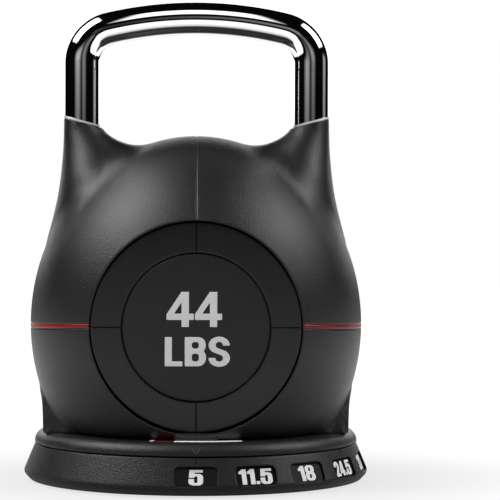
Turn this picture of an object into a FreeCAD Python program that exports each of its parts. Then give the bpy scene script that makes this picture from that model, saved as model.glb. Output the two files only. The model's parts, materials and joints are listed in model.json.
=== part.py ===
"""Adjustable kettlebell on its dial base.

The kettlebell is a plastic shell on a steel handle frame. Six cast plates are stacked inside it.
The shell turns with the cover of its base, and two rails of hooks inside the shell reach under the
flanges of as many plates as the dial says. Sizes are in millimetres. Z is up, -Y is the front, and
the origin is the centre of the underside.
"""
import math
import os
import re

import FreeCAD
import Part
import Sketcher

SIZES = {
    # base
    "base_radius": 124.4,
    "base_widest_height": 6.4,
    "ring_underside": 1.2,
    "ring_foot_radius": 119.5,
    "ring_top_radius": 116.6,
    "ring_top": 25.0,
    "ring_wall": 4.0,
    "ring_ledge_inner": 108.8,
    "ring_ledge_floor": 20.0,
    "pan_top": 4.2,
    "pan_radius": 117.0,
    "pan_hole_radius": 5.0,
    "foot_radius": 10.0,
    "foot_circle": 92.0,
    "foot_recess": 1.0,
    "hub_radius": 81.5,
    "hub_wall": 4.0,
    "hub_step_radius": 58.0,
    "hub_step": 0.8,
    "hub_step_width": 2.0,
    "hub_flange_radius": 88.0,
    "hub_flange": 3.0,
    "screw_radius": 2.0,
    "screw_head_radius": 3.8,
    "screw_head": 2.2,
    "screw_circle": 40.0,
    "glide_inner": 93.0,
    "glide_outer": 100.0,
    "glide_bottom": 18.0,
    "glide_top": 21.0,
    "runner_inner": 95.0,
    "runner_outer": 99.0,
    "number_pocket_half_width": 14.6,
    "number_pocket_half_height": 7.0,
    "number_pocket_corner": 3.2,
    "number_pocket_depth": 2.2,
    "number_pocket_height": 14.6,
    # turntable cover
    "cover_inner": 83.0,
    "cover_underside": 25.8,
    "cover_rim_radius": 116.3,
    "cover_top": 34.0,
    "cover_wall": 3.4,
    "cover_channel_outer": 86.0,
    "cover_channel_depth": 2.0,
    "cover_round": 6.0,
    "detent_angle": 20.0,
    "detent_count": 7,
    "detent_circle": 104.4,
    "detent_ball_radius": 2.4,
    "detent_ball_top": 27.3,
    "detent_pad_inner": 101.4,
    "detent_pad_outer": 107.4,
    "detent_pad_bottom": 27.4,
    "detent_notch_radius": 2.7,
    "detent_notch_depth": 1.5,
    "detent_tower_radius": 4.2,
    "detent_tower_top": 23.0,
    "detent_slack": 0.1,
    "detent_bearing": 45.0,
    "detent_wire": 0.35,
    "detent_coil_radius": 1.9,
    "detent_pitch": 1.9,
    "post_inner": 87.0,
    "post_outer": 104.5,
    "post_half_width": 17.0,
    "post_gap_half": 9.6,
    "post_top": 61.0,
    "post_foot": 3.0,
    "strip_inner": 96.0,
    "strip_outer": 102.5,
    "strip_thickness": 0.25,
    "strip_sweep": 38.0,
    "strip_red_sweep": 9.0,
    # plates
    "stack_floor": 35.0,
    "plate_thickness": 26.0,
    "plate_count": 6,
    "plate_radius": 81.0,
    "plate_edge": 1.5,
    "flange_radius": 85.0,
    "flange_height": 7.6,
    "flange_overlap": 2.0,
    "arc_first": 10.0,
    "key_radius": 22.25,
    "key_block": 8.0,
    "key_floor": 10.0,
    "key_slack": 0.5,
    "key_bore": 4.0,
    "relief_inner": 29.0,
    "relief_outer": 73.0,
    "relief_depth": 6.0,
    "top_relief_depth": 3.4,
    "top_groove_inner": 60.0,
    "top_groove_outer": 62.0,
    "top_groove_depth": 1.0,
    "dish_radius": 63.0,
    "dish_depth": 4.0,
    "slot_inner": 69.0,
    "slot_width": 5.0,
    "slot_depth": 5.2,
    # kettlebell body
    "equator": 112.0,
    "body_radius": 119.3,
    "crown_rise": 133.0,
    "belly_drop": 138.0,
    "wall": 4.0,
    "shell_bottom": 34.4,
    "lip_radius": 93.0,
    "lip_slope": 1.5,
    "lip_height": 42.0,
    "mouth_radius": 88.5,
    "face_height": 113.0,
    "face_inner": 86.6,
    "face_seat": 89.8,
    "ring_radius": 72.5,
    "ring_gap": 1.2,
    "ring_edge_face": 94.0,
    "ring_inner_radius": 51.6,
    "ring_inner_face": 95.6,
    "badge_radius": 50.7,
    "badge_edge_face": 95.4,
    "badge_face": 97.6,
    "badge_round": 1.2,
    "band_low": 109.8,
    "band_height": 3.2,
    "band_depth": 2.0,
    "ear_bottom_reach": 109.9,
    "ear_top_reach": 111.8,
    "ear_bottom_half": 36.0,
    "ear_top_half": 15.0,
    "ear_top": 66.0,
    "ear_root": 84.0,
    "ear_cavity_inner": 80.0,
    "ear_cavity_outer": 105.6,
    "ear_cavity_half": 18.6,
    "ear_cavity_top": 63.5,
    "tab_half_width": 15.0,
    "tab_height": 5.0,
    "tab_face": 102.0,
    # handle
    "total_height": 344.0,
    "handle_radius": 12.5,
    "handle_wall": 2.5,
    "leg_reach": 82.7,
    "grip_bow": 275.0,
    "handle_corner": 25.0,
    "leg_bottom": 208.0,
    "collar_radius": 13.0,
    "collar_thickness": 1.4,
    "collar_height": 257.0,
    "collar_tilt": 14.4,
    "plug_length": 18.0,
    "bolt_radius": 3.0,
    "bolt_head_radius": 4.2,
    "bolt_head": 4.0,
    "bolt_length": 20.0,
    # frame inside the shell
    "bridge_bottom": 203.0,
    "bridge_half_width": 19.5,
    "horn_cavity_bottom": 178.0,
    "bridge_end": 74.0,
    "spindle_radius": 6.0,
    "spindle_top": 215.0,
    "spindle_slack": 0.05,
    "clip_radius": 10.0,
    "clip_bottom": 208.5,
    "clip_thickness": 1.6,
    "pad_radius": 30.0,
    "pad_thickness": 6.0,
    "rail_inner": 87.0,
    "rail_thickness": 4.0,
    "rail_half_width": 8.0,
    "hook_tip": 82.0,
    "hook_thickness": 4.6,
    "hook_drop": 1.2,
    "lock_ring_inner": 34.0,
    "lock_ring_outer": 60.0,
    "lock_ring_bottom": 197.5,
    "lock_ring_thickness": 2.5,
    "lock_arm_half": 6.0,
    "rod_arm_half": 1.7,
    "rod_arm_end": 88.6,
    "nose_half_width": 2.0,
    "nose_inner": 72.0,
    "nose_outer": 79.0,
    "nose_bottom": 192.2,
    "rod_radius": 1.5,
    "rod_x": 87.6,
    "rod_y": 10.6,
    "rod_bottom": 68.0,
    "lock_spring_radius": 4.0,
    "lock_spring_turns": 4,
    "lock_spring_bite": 0.1,
    "lock_spring_x": 50.0,
}

# Cross-sections of the flare round each handle leg: height, reach of its inner edge, reach of its outer edge.
FLARE_SECTIONS = [
    (262.0, 69.9, 95.6),
    (253.0, 68.6, 95.6),
    (246.5, 61.0, 95.7),
    (241.5, 49.0, 96.0),
    (229.5, 44.5, 96.9),
    (206.0, 46.5, 99.8),
    (183.0, 50.0, 105.2),
    (160.0, 55.0, 110.6),
]


def add_derived_sizes(sizes):
    """Work out the sizes that follow from the driving ones."""
    sizes["stack_top"] = sizes["stack_floor"] + sizes["plate_count"] * sizes["plate_thickness"]
    sizes["flange_bottom"] = sizes["plate_thickness"] - sizes["flange_height"]
    sizes["flange_root"] = sizes["plate_radius"] - sizes["flange_overlap"]
    sizes["plate_foot_radius"] = sizes["plate_radius"] - sizes["plate_edge"]
    sizes["dish_floor"] = sizes["plate_thickness"] - sizes["dish_depth"]
    sizes["top_groove_floor"] = sizes["plate_thickness"] - sizes["top_groove_depth"]
    sizes["slot_half"] = 0.5 * sizes["slot_width"]
    sizes["slot_end"] = sizes["flange_radius"] + 1.0
    sizes["grip_centre_top"] = sizes["total_height"] - sizes["handle_radius"]
    sizes["grip_bow_centre"] = sizes["grip_centre_top"] - sizes["grip_bow"]
    sizes["handle_bore"] = sizes["handle_radius"] - sizes["handle_wall"]
    sizes["corner_centre_x"] = sizes["leg_reach"] - sizes["handle_corner"]
    corner_reach = sizes["grip_bow"] - sizes["handle_corner"]
    corner_rise = math.sqrt(corner_reach ** 2 - sizes["corner_centre_x"] ** 2)
    sizes["corner_centre_z"] = sizes["grip_bow_centre"] + corner_rise
    sizes["pad_bottom"] = sizes["stack_top"] - sizes["dish_depth"]
    sizes["pad_top"] = sizes["pad_bottom"] + sizes["pad_thickness"]
    sizes["rail_bottom"] = sizes["stack_floor"] + sizes["flange_bottom"] - sizes["hook_thickness"] - 3.0
    sizes["lock_ring_top"] = sizes["lock_ring_bottom"] + sizes["lock_ring_thickness"]
    sizes["lock_arm_root"] = sizes["lock_ring_outer"] - 2.0
    sizes["band_middle"] = sizes["band_low"] + 0.5 * sizes["band_height"]
    sizes["ring_opening"] = sizes["ring_radius"] + sizes["ring_gap"]
    sizes["badge_shoulder"] = sizes["badge_radius"] - sizes["badge_round"]
    sizes["badge_shoulder_face"] = sizes["badge_edge_face"] + 0.6 * sizes["badge_round"]
    sizes["hub_flange_top"] = sizes["pan_top"] + sizes["hub_flange"]
    sizes["hub_wall_inner"] = sizes["hub_radius"] - sizes["hub_wall"]
    sizes["hub_ceiling"] = sizes["stack_floor"] - sizes["hub_wall"]
    sizes["hub_post_radius"] = sizes["key_radius"] + sizes["hub_wall"]
    sizes["hub_step_floor"] = sizes["stack_floor"] - sizes["hub_step"]
    sizes["hub_step_inner"] = sizes["hub_step_radius"] - sizes["hub_step_width"]
    ring_rise = sizes["ring_top"] - sizes["base_widest_height"]
    ring_lean = (sizes["base_radius"] - sizes["ring_top_radius"]) / ring_rise
    pocket_rise = sizes["number_pocket_height"] - sizes["base_widest_height"]
    sizes["number_pocket_radius"] = sizes["base_radius"] - ring_lean * pocket_rise
    inside_rise = sizes["ring_ledge_floor"] - sizes["base_widest_height"]
    sizes["ring_inside_bottom"] = sizes["base_radius"] - sizes["ring_wall"]
    sizes["ring_inside_top"] = sizes["ring_inside_bottom"] - ring_lean * inside_rise
    sizes["cover_ceiling"] = sizes["cover_top"] - sizes["cover_wall"]
    sizes["cover_channel_floor"] = sizes["cover_top"] - sizes["cover_channel_depth"]
    sizes["cover_channel_ceiling"] = sizes["cover_channel_floor"] - sizes["cover_wall"]
    sizes["cover_channel_wall"] = sizes["cover_channel_outer"] + sizes["cover_wall"]
    sizes["cover_rim_inner"] = sizes["cover_rim_radius"] - sizes["cover_wall"]
    sizes["post_gap_floor"] = sizes["cover_top"] + sizes["post_foot"]
    sizes["strip_top"] = sizes["cover_top"] + sizes["strip_thickness"]
    sizes["strip_white_sweep"] = sizes["strip_sweep"] - sizes["strip_red_sweep"]


add_derived_sizes(SIZES)

DOC = FreeCAD.newDocument("adjustable_kettlebell")
SHEET = DOC.addObject("Spreadsheet::Sheet", "Dims")
PIECES = []
FULL_TURN = 360
SLOPE = math.degrees(
    math.atan2(
        SIZES["base_radius"] - SIZES["ring_top_radius"],
        SIZES["ring_top"] - SIZES["base_widest_height"],
    )
)


def fill_sheet():
    """Write each size to the sheet as a plain number with its name as the alias."""
    for row, (name, value) in enumerate(SIZES.items(), start=1):
        SHEET.set(f"A{row}", name)
        SHEET.set(f"B{row}", str(value))
        SHEET.setAlias(f"B{row}", name)
    DOC.recompute()


def read_cell(word):
    """A matched word of a formula, as a cell of the sheet if it is a size name."""
    return "Dims." + word.group() if word.group() in SIZES else word.group()


def formula(text):
    """Turn a formula in plain size names into one that reads the sheet."""
    return re.sub(r"[a-z_]+", read_cell, text)


def bind(thing, setting, text):
    """Tie one property of an object to a formula in size names."""
    thing.setExpression(setting, formula(text))


def place(thing, x="0", y="0", z="0"):
    """Tie an object's position to formulas."""
    bind(thing, "Placement.Base.x", x)
    bind(thing, "Placement.Base.y", y)
    bind(thing, "Placement.Base.z", z)


def turn(thing, axis, angle):
    """Turn an object about an axis through its own origin."""
    thing.Placement.Rotation = FreeCAD.Rotation(FreeCAD.Vector(*axis), angle)


def keep(thing, name):
    """Count an object as one finished piece of the kettlebell."""
    thing.Label = name
    PIECES.append(thing)
    return thing


# ---- sketches and bodies ----

def new_body(name):
    """Start a body."""
    return DOC.addObject("PartDesign::Body", name)


def new_sketch(body, plane, name, lift=None, offset=None):
    """Start a sketch on one of its body's own origin planes."""
    sketch = body.newObject("Sketcher::SketchObject", name)
    support = next(item for item in body.Origin.OriginFeatures if item.Role == plane)
    sketch.AttachmentSupport = [(support, "")]
    sketch.MapMode = "FlatFace"
    if offset is not None:
        sketch.AttachmentOffset = offset
    if lift is not None:
        bind(sketch, "AttachmentOffset.Base.z", lift)
    return sketch


def size_value(name):
    """The signed number behind a size name such as 'wall' or '-wall'."""
    if name == "0":
        return 0.0
    if name.startswith("-"):
        return -SIZES[name[1:]]
    return SIZES[name]


def pin_point(sketch, curve, end, x_name, y_name):
    """Hold one point of a sketch at named distances from the sketch's origin."""
    for kind, name in (("DistanceX", x_name), ("DistanceY", y_name)):
        index = sketch.addConstraint(Sketcher.Constraint(kind, -1, 1, curve, end, size_value(name)))
        if name != "0":
            sketch.setExpression(f"Constraints[{index}]", formula(name))


def add_outline(sketch, points):
    """Draw a closed outline of straight lines through named points."""
    first = sketch.GeometryCount
    count = len(points)
    spots = [FreeCAD.Vector(size_value(x), size_value(y), 0) for x, y in points]
    for index in range(count):
        sketch.addGeometry(Part.LineSegment(spots[index], spots[(index + 1) % count]))
    for index in range(count):
        after = first + (index + 1) % count
        sketch.addConstraint(Sketcher.Constraint("Coincident", first + index, 2, after, 1))
    for index, (x_name, y_name) in enumerate(points):
        pin_point(sketch, first + index, 1, x_name, y_name)


def add_circle(sketch, x_name, y_name, radius_name):
    """Draw one circle of a named radius round a named point."""
    centre = FreeCAD.Vector(size_value(x_name), size_value(y_name), 0)
    up = FreeCAD.Vector(0, 0, 1)
    curve = sketch.addGeometry(Part.Circle(centre, up, size_value(radius_name)))
    pin_point(sketch, curve, 3, x_name, y_name)
    index = sketch.addConstraint(Sketcher.Constraint("Radius", curve, size_value(radius_name)))
    sketch.setExpression(f"Constraints[{index}]", formula(radius_name))


def add_rounded_rectangle(sketch, half_width, half_height, corner):
    """Draw a rectangle with round corners, centred on the sketch's origin."""
    a = size_value(half_width)
    b = size_value(half_height)
    r = size_value(corner)
    corners = [(a - r, b - r, 0), (r - a, b - r, 90), (r - a, r - b, 180), (a - r, r - b, 270)]
    up = FreeCAD.Vector(0, 0, 1)
    arcs = []
    for x, y, start in corners:
        circle = Part.Circle(FreeCAD.Vector(x, y, 0), up, r)
        arc = Part.ArcOfCircle(circle, math.radians(start), math.radians(start + 90))
        arcs.append(sketch.addGeometry(arc))
    lines = []
    for index, (x, y, start) in enumerate(corners):
        after = corners[(index + 1) % 4]
        angle = math.radians(start + 90)
        side = FreeCAD.Vector(math.cos(angle), math.sin(angle), 0) * r
        here = FreeCAD.Vector(x, y, 0) + side
        there = FreeCAD.Vector(after[0], after[1], 0) + side
        lines.append(sketch.addGeometry(Part.LineSegment(here, there)))
    for index in range(4):
        following = (index + 1) % 4
        sketch.addConstraint(Sketcher.Constraint("Tangent", arcs[index], 2, lines[index], 1))
        sketch.addConstraint(Sketcher.Constraint("Tangent", lines[index], 2, arcs[following], 1))
        if index:
            sketch.addConstraint(Sketcher.Constraint("Equal", arcs[0], arcs[index]))
    held = sketch.addConstraint(Sketcher.Constraint("Radius", arcs[0], r))
    sketch.setExpression(f"Constraints[{held}]", formula(corner))
    for arc, x_sign, y_sign in ((arcs[0], "", ""), (arcs[2], "-", "-")):
        for kind, sign, half in (("DistanceX", x_sign, half_width), ("DistanceY", y_sign, half_height)):
            value = (size_value(half) - r) * (-1 if sign else 1)
            held = sketch.addConstraint(Sketcher.Constraint(kind, -1, 1, arc, 3, value))
            sketch.setExpression(f"Constraints[{held}]", f"{sign}({formula(half)} - {formula(corner)})")
    sketch.addConstraint(Sketcher.Constraint("Horizontal", lines[0]))
    sketch.addConstraint(Sketcher.Constraint("Vertical", lines[1]))


def revolve(body, points, name, plane="XZ_Plane", start=0.0, sweep=FULL_TURN):
    """Turn an outline of (radius, height) points about the body's Z axis."""
    offset = FreeCAD.Placement(FreeCAD.Vector(), FreeCAD.Rotation(FreeCAD.Vector(0, 1, 0), start))
    sketch = new_sketch(body, plane, name + "_outline", offset=offset)
    add_outline(sketch, points)
    ring = body.newObject("PartDesign::Revolution", name)
    ring.Profile = sketch
    ring.ReferenceAxis = (sketch, ["V_Axis"])
    if sweep == FULL_TURN:
        ring.Angle = FULL_TURN
    else:
        bind(ring, "Angle", sweep)
    return ring


def pad(body, sketch, name, length):
    """Raise a sketch by a formula."""
    block = body.newObject("PartDesign::Pad", name)
    block.Profile = sketch
    bind(block, "Length", length)
    return block


def pocket(body, sketch, name, depth):
    """Cut a sketch down into its body by a formula."""
    cut = body.newObject("PartDesign::Pocket", name)
    cut.Profile = sketch
    bind(cut, "Length", depth)
    return cut


def repeat_round(body, feature, name, angle, count):
    """Repeat one feature about the body's Z axis."""
    pattern = body.newObject("PartDesign::PolarPattern", name)
    pattern.Originals = [feature]
    axis = next(item for item in body.Origin.OriginFeatures if item.Role == "Z_Axis")
    pattern.Axis = (axis, [""])
    bind(pattern, "Angle", angle)
    bind(pattern, "Occurrences", count)
    body.Tip = pattern
    return pattern


def turned_piece(name, points, z="0"):
    """A piece made in one go on a lathe: an outline turned about Z."""
    body = new_body(name)
    revolve(body, points, name + "_turned")
    place(body, z=z)
    return keep(body, name)


# ---- primitives and booleans ----

def box(name, x, y, z, length, width, height):
    """A box from its lowest corner."""
    block = DOC.addObject("Part::Box", name)
    bind(block, "Length", length)
    bind(block, "Width", width)
    bind(block, "Height", height)
    place(block, x, y, z)
    return block


def cylinder(name, radius, height, x="0", y="0", z="0"):
    """An upright cylinder from the centre of its underside."""
    rod = DOC.addObject("Part::Cylinder", name)
    bind(rod, "Radius", radius)
    bind(rod, "Height", height)
    place(rod, x, y, z)
    return rod


def cut(name, base, tool):
    """What is left of one shape when another is taken away."""
    result = DOC.addObject("Part::Cut", name)
    result.Base = base
    result.Tool = tool
    return result


def join(name, shapes):
    """Several shapes as one."""
    result = DOC.addObject("Part::MultiFuse", name)
    result.Shapes = shapes
    return result


def overlap(name, shapes):
    """What several shapes have in common."""
    result = DOC.addObject("Part::MultiCommon", name)
    result.Shapes = shapes
    return result


# ---- base ----

def make_pan():
    """Floor plate of the base, with the wall that the turntable runs on and the tower of its detent."""
    points = [
        ("pan_hole_radius", "ring_underside"),
        ("pan_radius", "ring_underside"),
        ("pan_radius", "pan_top"),
        ("glide_outer", "pan_top"),
        ("glide_outer", "glide_bottom"),
        ("glide_inner", "glide_bottom"),
        ("glide_inner", "pan_top"),
        ("pan_hole_radius", "pan_top"),
    ]
    disc = new_body("pan_disc")
    revolve(disc, points, "pan_turned")
    feet = new_sketch(disc, "XY_Plane", "foot_recess_circles", lift="ring_underside + foot_recess")
    add_circle(feet, "foot_circle", "0", "foot_radius")
    recess = pocket(disc, feet, "foot_recess_cut", "foot_recess * 2")
    repeat_round(disc, recess, "foot_recess_cuts", "360", "4")
    spot = detent_spot()
    tower = cylinder("detent_tower", "detent_tower_radius", "detent_tower_top - pan_top")
    place(tower, spot[0], spot[1], "pan_top")
    bore = cylinder("detent_bore", "detent_ball_radius + detent_slack", "detent_tower_top")
    place(bore, spot[0], spot[1], "pan_top")
    keep(cut("base_pan", join("pan_and_tower", [disc, tower]), bore), "base_pan")


def detent_spot():
    """Where the detent stands, as two formulas."""
    return "detent_circle * cos(detent_bearing)", "detent_circle * sin(detent_bearing)"


def make_feet():
    """Four rubber feet in the recesses of the pan."""
    for number, (x, y) in enumerate((("1", "0"), ("0", "1"), ("-1", "0"), ("0", "-1")), start=1):
        name = f"foot_{number}"
        foot = cylinder(name, "foot_radius", "ring_underside + foot_recess")
        place(foot, f"{x} * foot_circle", f"{y} * foot_circle", "0")
        keep(foot, name)


def make_number_ring():
    """Sloped outer ring with a sunk window for each of the seven weights."""
    points = [
        ("pan_radius", "ring_underside"),
        ("ring_foot_radius", "ring_underside"),
        ("base_radius", "base_widest_height"),
        ("ring_top_radius", "ring_top"),
        ("ring_ledge_inner", "ring_top"),
        ("ring_ledge_inner", "ring_ledge_floor"),
        ("ring_inside_top", "ring_ledge_floor"),
        ("ring_inside_bottom", "base_widest_height"),
        ("pan_radius", "pan_top"),
    ]
    body = new_body("number_ring")
    revolve(body, points, "sloped_ring")
    tilt = FreeCAD.Rotation(FreeCAD.Vector(1, 0, 0), -SLOPE)
    middle = FreeCAD.Vector(0, SIZES["number_pocket_height"], SIZES["number_pocket_radius"])
    window = new_sketch(body, "XZ_Plane", "number_window", offset=FreeCAD.Placement(middle, tilt))
    add_rounded_rectangle(
        window, "number_pocket_half_width", "number_pocket_half_height", "number_pocket_corner"
    )
    sunk = pocket(body, window, "number_window_cut", "number_pocket_depth")
    repeat_round(body, sunk, "number_windows", "detent_angle * (detent_count - 1)", "detent_count")
    keep(body, "number_ring")


def make_hub():
    """Raised middle of the base, which the plates stand on."""
    points = [
        ("key_radius", "pan_top"),
        ("hub_post_radius", "pan_top"),
        ("hub_post_radius", "hub_ceiling"),
        ("hub_wall_inner", "hub_ceiling"),
        ("hub_wall_inner", "pan_top"),
        ("hub_flange_radius", "pan_top"),
        ("hub_flange_radius", "hub_flange_top"),
        ("hub_radius", "hub_flange_top"),
        ("hub_radius", "stack_floor"),
        ("hub_step_radius", "stack_floor"),
        ("hub_step_radius", "hub_step_floor"),
        ("hub_step_inner", "hub_step_floor"),
        ("hub_step_inner", "stack_floor"),
        ("key_radius", "stack_floor"),
    ]
    turned_piece("hub_disc", points)


def make_hub_screws():
    """Three screws that hold the hub to the pan."""
    for number in range(3):
        name = f"hub_screw_{number + 1}"
        angle = f"{number * 120 + 30}"
        x = f"screw_circle * cos({angle})"
        y = f"screw_circle * sin({angle})"
        shank = cylinder(name + "_shank", "screw_radius", "hub_ceiling - pan_top", x, y, "pan_top")
        head = cylinder(name + "_head", "screw_head_radius", "screw_head", x, y, "pan_top")
        keep(join(name, [shank, head]), name)


def quarter(name, radius, floor, height, turn_count):
    """A quarter-round block set back from both of its straight sides by the key's slack."""
    block = cylinder(name, radius, height)
    bind(block, "Angle", "90")
    x_sign, y_sign = ((1, 1), (-1, 1), (-1, -1), (1, -1))[turn_count]
    place(block, f"{x_sign} * key_slack", f"{y_sign} * key_slack", floor)
    turn(block, (0, 0, 1), 90 * turn_count)
    return block


def key_socket(name, floor, top):
    """A bush whose sunk top has a block in two opposite quarters."""
    core = cylinder(name + "_core", "key_radius", f"{top} - key_floor - ({floor})", z=floor)
    radius = "key_radius - 2 * key_slack"
    sunk = f"{top} - key_floor"
    blocks = [quarter(f"{name}_block_{side}", radius, sunk, "key_block", side) for side in (0, 2)]
    return [core] + blocks


def key_tongues(name, underside):
    """Two blocks below a piece, in the quarters that a socket leaves free."""
    radius = "key_radius - 3 * key_slack"
    low = f"{underside} - key_block"
    return [quarter(f"{name}_tongue_{side}", radius, low, "key_block", side) for side in (1, 3)]


def make_hub_key():
    """Keyed socket in the middle of the hub."""
    keep(join("hub_key", key_socket("hub_key", "pan_top", "stack_floor")), "hub_key")


def make_glide_ring():
    """Slippery ring that the turntable rests on."""
    points = [
        ("glide_inner", "glide_bottom"),
        ("glide_outer", "glide_bottom"),
        ("glide_outer", "glide_top"),
        ("glide_inner", "glide_top"),
    ]
    turned_piece("glide_ring", points)


def make_detent():
    """Ball and spring that click into the turntable's notches."""
    spot = detent_spot()
    ball = DOC.addObject("Part::Sphere", "detent_ball")
    bind(ball, "Radius", "detent_ball_radius")
    place(ball, spot[0], spot[1], "detent_ball_top - detent_ball_radius")
    keep(ball, "detent_ball")
    spring_top = SIZES["detent_ball_top"] - 2 * SIZES["detent_ball_radius"]
    spring_height = spring_top - SIZES["pan_top"] - 4 * SIZES["detent_slack"]
    angle = math.radians(SIZES["detent_bearing"])
    spring = coil("detent_spring", SIZES["detent_coil_radius"], SIZES["detent_wire"], spring_height)
    foot = FreeCAD.Vector(math.cos(angle), math.sin(angle), 0) * SIZES["detent_circle"]
    foot.z = SIZES["pan_top"] + 2 * SIZES["detent_slack"] - spring.Shape.BoundBox.ZMin
    spring.Placement.Base = foot


def coil(name, radius, wire, height):
    """A coil spring. No primitive makes one, so its shape is worked out here."""
    rise = height - 2 * wire
    helix = Part.makeHelix(SIZES["detent_pitch"], rise, radius)
    section = Part.Wire(Part.makeCircle(wire, FreeCAD.Vector(radius, 0, 0), FreeCAD.Vector(0, 1, 0)))
    spring = DOC.addObject("Part::Feature", name)
    spring.Shape = Part.Wire(helix.Edges).makePipeShell([section], True, True)
    return keep(spring, name)


# ---- turntable ----

def make_turntable_cover():
    """Round cover that turns with the kettlebell, with a notch underneath for each weight."""
    points = [
        ("cover_inner", "cover_channel_ceiling"),
        ("cover_inner", "cover_channel_floor"),
        ("cover_channel_outer", "cover_channel_floor"),
        ("cover_channel_outer", "cover_top"),
        ("cover_rim_radius", "cover_top"),
        ("cover_rim_radius", "cover_underside"),
        ("cover_rim_inner", "cover_underside"),
        ("cover_rim_inner", "cover_ceiling"),
        ("detent_pad_outer", "cover_ceiling"),
        ("detent_pad_outer", "detent_pad_bottom"),
        ("detent_pad_inner", "detent_pad_bottom"),
        ("detent_pad_inner", "cover_ceiling"),
        ("runner_outer", "cover_ceiling"),
        ("runner_outer", "glide_top"),
        ("runner_inner", "glide_top"),
        ("runner_inner", "cover_ceiling"),
        ("cover_channel_wall", "cover_ceiling"),
        ("cover_channel_wall", "cover_channel_ceiling"),
    ]
    body = new_body("turntable_turned")
    shape = revolve(body, points, "turntable_section")
    round_rims(body, shape, "cover_rim_radius", "cover_top", "cover_round")
    notches = []
    for number in range(SIZES["detent_count"]):
        bearing = f"(detent_bearing - {number} * detent_angle)"
        notch = cylinder(f"detent_notch_{number + 1}", "detent_notch_radius", "detent_notch_depth")
        x = f"detent_circle * cos({bearing})"
        y = f"detent_circle * sin({bearing})"
        place(notch, x, y, "detent_pad_bottom")
        notches.append(notch)
    keep(cut("turntable_cover", body, join("detent_notches", notches)), "turntable_cover")


def round_rims(body, feature, radius_name, height_name, size_name):
    """Round the circular edge of a turned feature that lies at a named radius and height."""
    DOC.recompute()
    names = []
    for number, edge in enumerate(feature.Shape.Edges, start=1):
        if not isinstance(edge.Curve, Part.Circle):
            continue
        same_radius = abs(edge.Curve.Radius - SIZES[radius_name]) < 0.01
        same_height = abs(edge.Curve.Center.z - SIZES[height_name]) < 0.01
        if same_radius and same_height:
            names.append(f"Edge{number}")
    rounding = body.newObject("PartDesign::Fillet", body.Name + "_" + size_name)
    rounding.Base = (feature, names)
    bind(rounding, "Radius", size_name)
    return rounding


def make_posts():
    """Forked posts that reach up into the ears of the shell, one each side."""
    points = [
        ("-post_half_width", "cover_top"),
        ("post_half_width", "cover_top"),
        ("post_half_width", "post_top"),
        ("post_gap_half", "post_top"),
        ("post_gap_half", "post_gap_floor"),
        ("-post_gap_half", "post_gap_floor"),
        ("-post_gap_half", "post_top"),
        ("-post_half_width", "post_top"),
    ]
    for side, angle in (("right", 0), ("left", 180)):
        name = f"post_{side}"
        body = new_body(name)
        fork = new_sketch(body, "YZ_Plane", name + "_fork", lift="post_inner")
        add_outline(fork, points)
        pad(body, fork, name + "_block", "post_outer - post_inner")
        turn(body, (0, 0, 1), angle)
        keep(body, name)


def make_label_strip():
    """Curved label on the cover's front: a plain white strip with a red end."""
    points = [
        ("strip_inner", "cover_top"),
        ("strip_outer", "cover_top"),
        ("strip_outer", "strip_top"),
        ("strip_inner", "strip_top"),
    ]
    start = -90 - 0.5 * SIZES["strip_sweep"]
    split = start + SIZES["strip_red_sweep"]
    red = ("strip_red", start, "strip_red_sweep")
    white = ("strip_white", split, "strip_white_sweep")
    for name, angle, sweep in (red, white):
        body = new_body(name)
        revolve(body, points, name + "_arc", start=angle, sweep=sweep)
        keep(body, name)


# ---- plates ----

def make_plate(number):
    """One cast plate. Its two flange arcs start 20 degrees later on each lower plate."""
    name = f"plate_{number}"
    top_plate = number == 1
    top = "dish_floor" if top_plate else "plate_thickness"
    relief = "top_relief_depth" if top_plate else "relief_depth"
    points = [
        ("key_radius", "0"),
        ("relief_inner", "0"),
        ("relief_inner", relief),
        ("relief_outer", relief),
        ("relief_outer", "0"),
        ("plate_foot_radius", "0"),
        ("plate_radius", "plate_edge"),
        ("plate_radius", "plate_thickness"),
    ]
    if top_plate:
        points.append(("dish_radius", "plate_thickness"))
        points.append(("dish_radius", "dish_floor"))
    else:
        points.append(("top_groove_outer", "plate_thickness"))
        points.append(("top_groove_outer", "top_groove_floor"))
        points.append(("top_groove_inner", "top_groove_floor"))
        points.append(("top_groove_inner", "plate_thickness"))
    points.append(("key_radius", top))
    body = new_body(name)
    revolve(body, points, name + "_disc")
    flange = [
        ("flange_root", "flange_bottom"),
        ("flange_radius", "flange_bottom"),
        ("flange_radius", "plate_thickness"),
        ("flange_root", "plate_thickness"),
    ]
    start = SIZES["arc_first"] + SIZES["detent_angle"] * (number - 1)
    sweep = f"detent_angle * (plate_count - {number - 1})"
    arc = revolve(body, flange, name + "_flange", start=start, sweep=sweep)
    repeat_round(body, arc, name + "_flanges", "360", "2")
    if top_plate:
        cut_lock_slots(body, name)
    place(body, z=plate_floor(number))
    keep(body, name)


def cut_lock_slots(body, name):
    """Slots in the top plate's rim, one for each setting, in front of and behind the centre."""
    slots = new_sketch(body, "XY_Plane", name + "_slots", lift="plate_thickness")
    near = [("-slot_half", "slot_inner"), ("slot_half", "slot_inner"), ("slot_half", "slot_end")]
    add_outline(slots, near + [("-slot_half", "slot_end")])
    far = [("-slot_half", "-slot_inner"), ("slot_half", "-slot_inner"), ("slot_half", "-slot_end")]
    add_outline(slots, far + [("-slot_half", "-slot_end")])
    slot = pocket(body, slots, name + "_slot_cut", "slot_depth")
    repeat_round(body, slot, name + "_slot_cuts", "detent_angle * (detent_count - 1)", "detent_count")


def plate_floor(number):
    """Height of a plate's underside at rest, as a formula."""
    return f"stack_floor + (plate_count - {number}) * plate_thickness"


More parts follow.
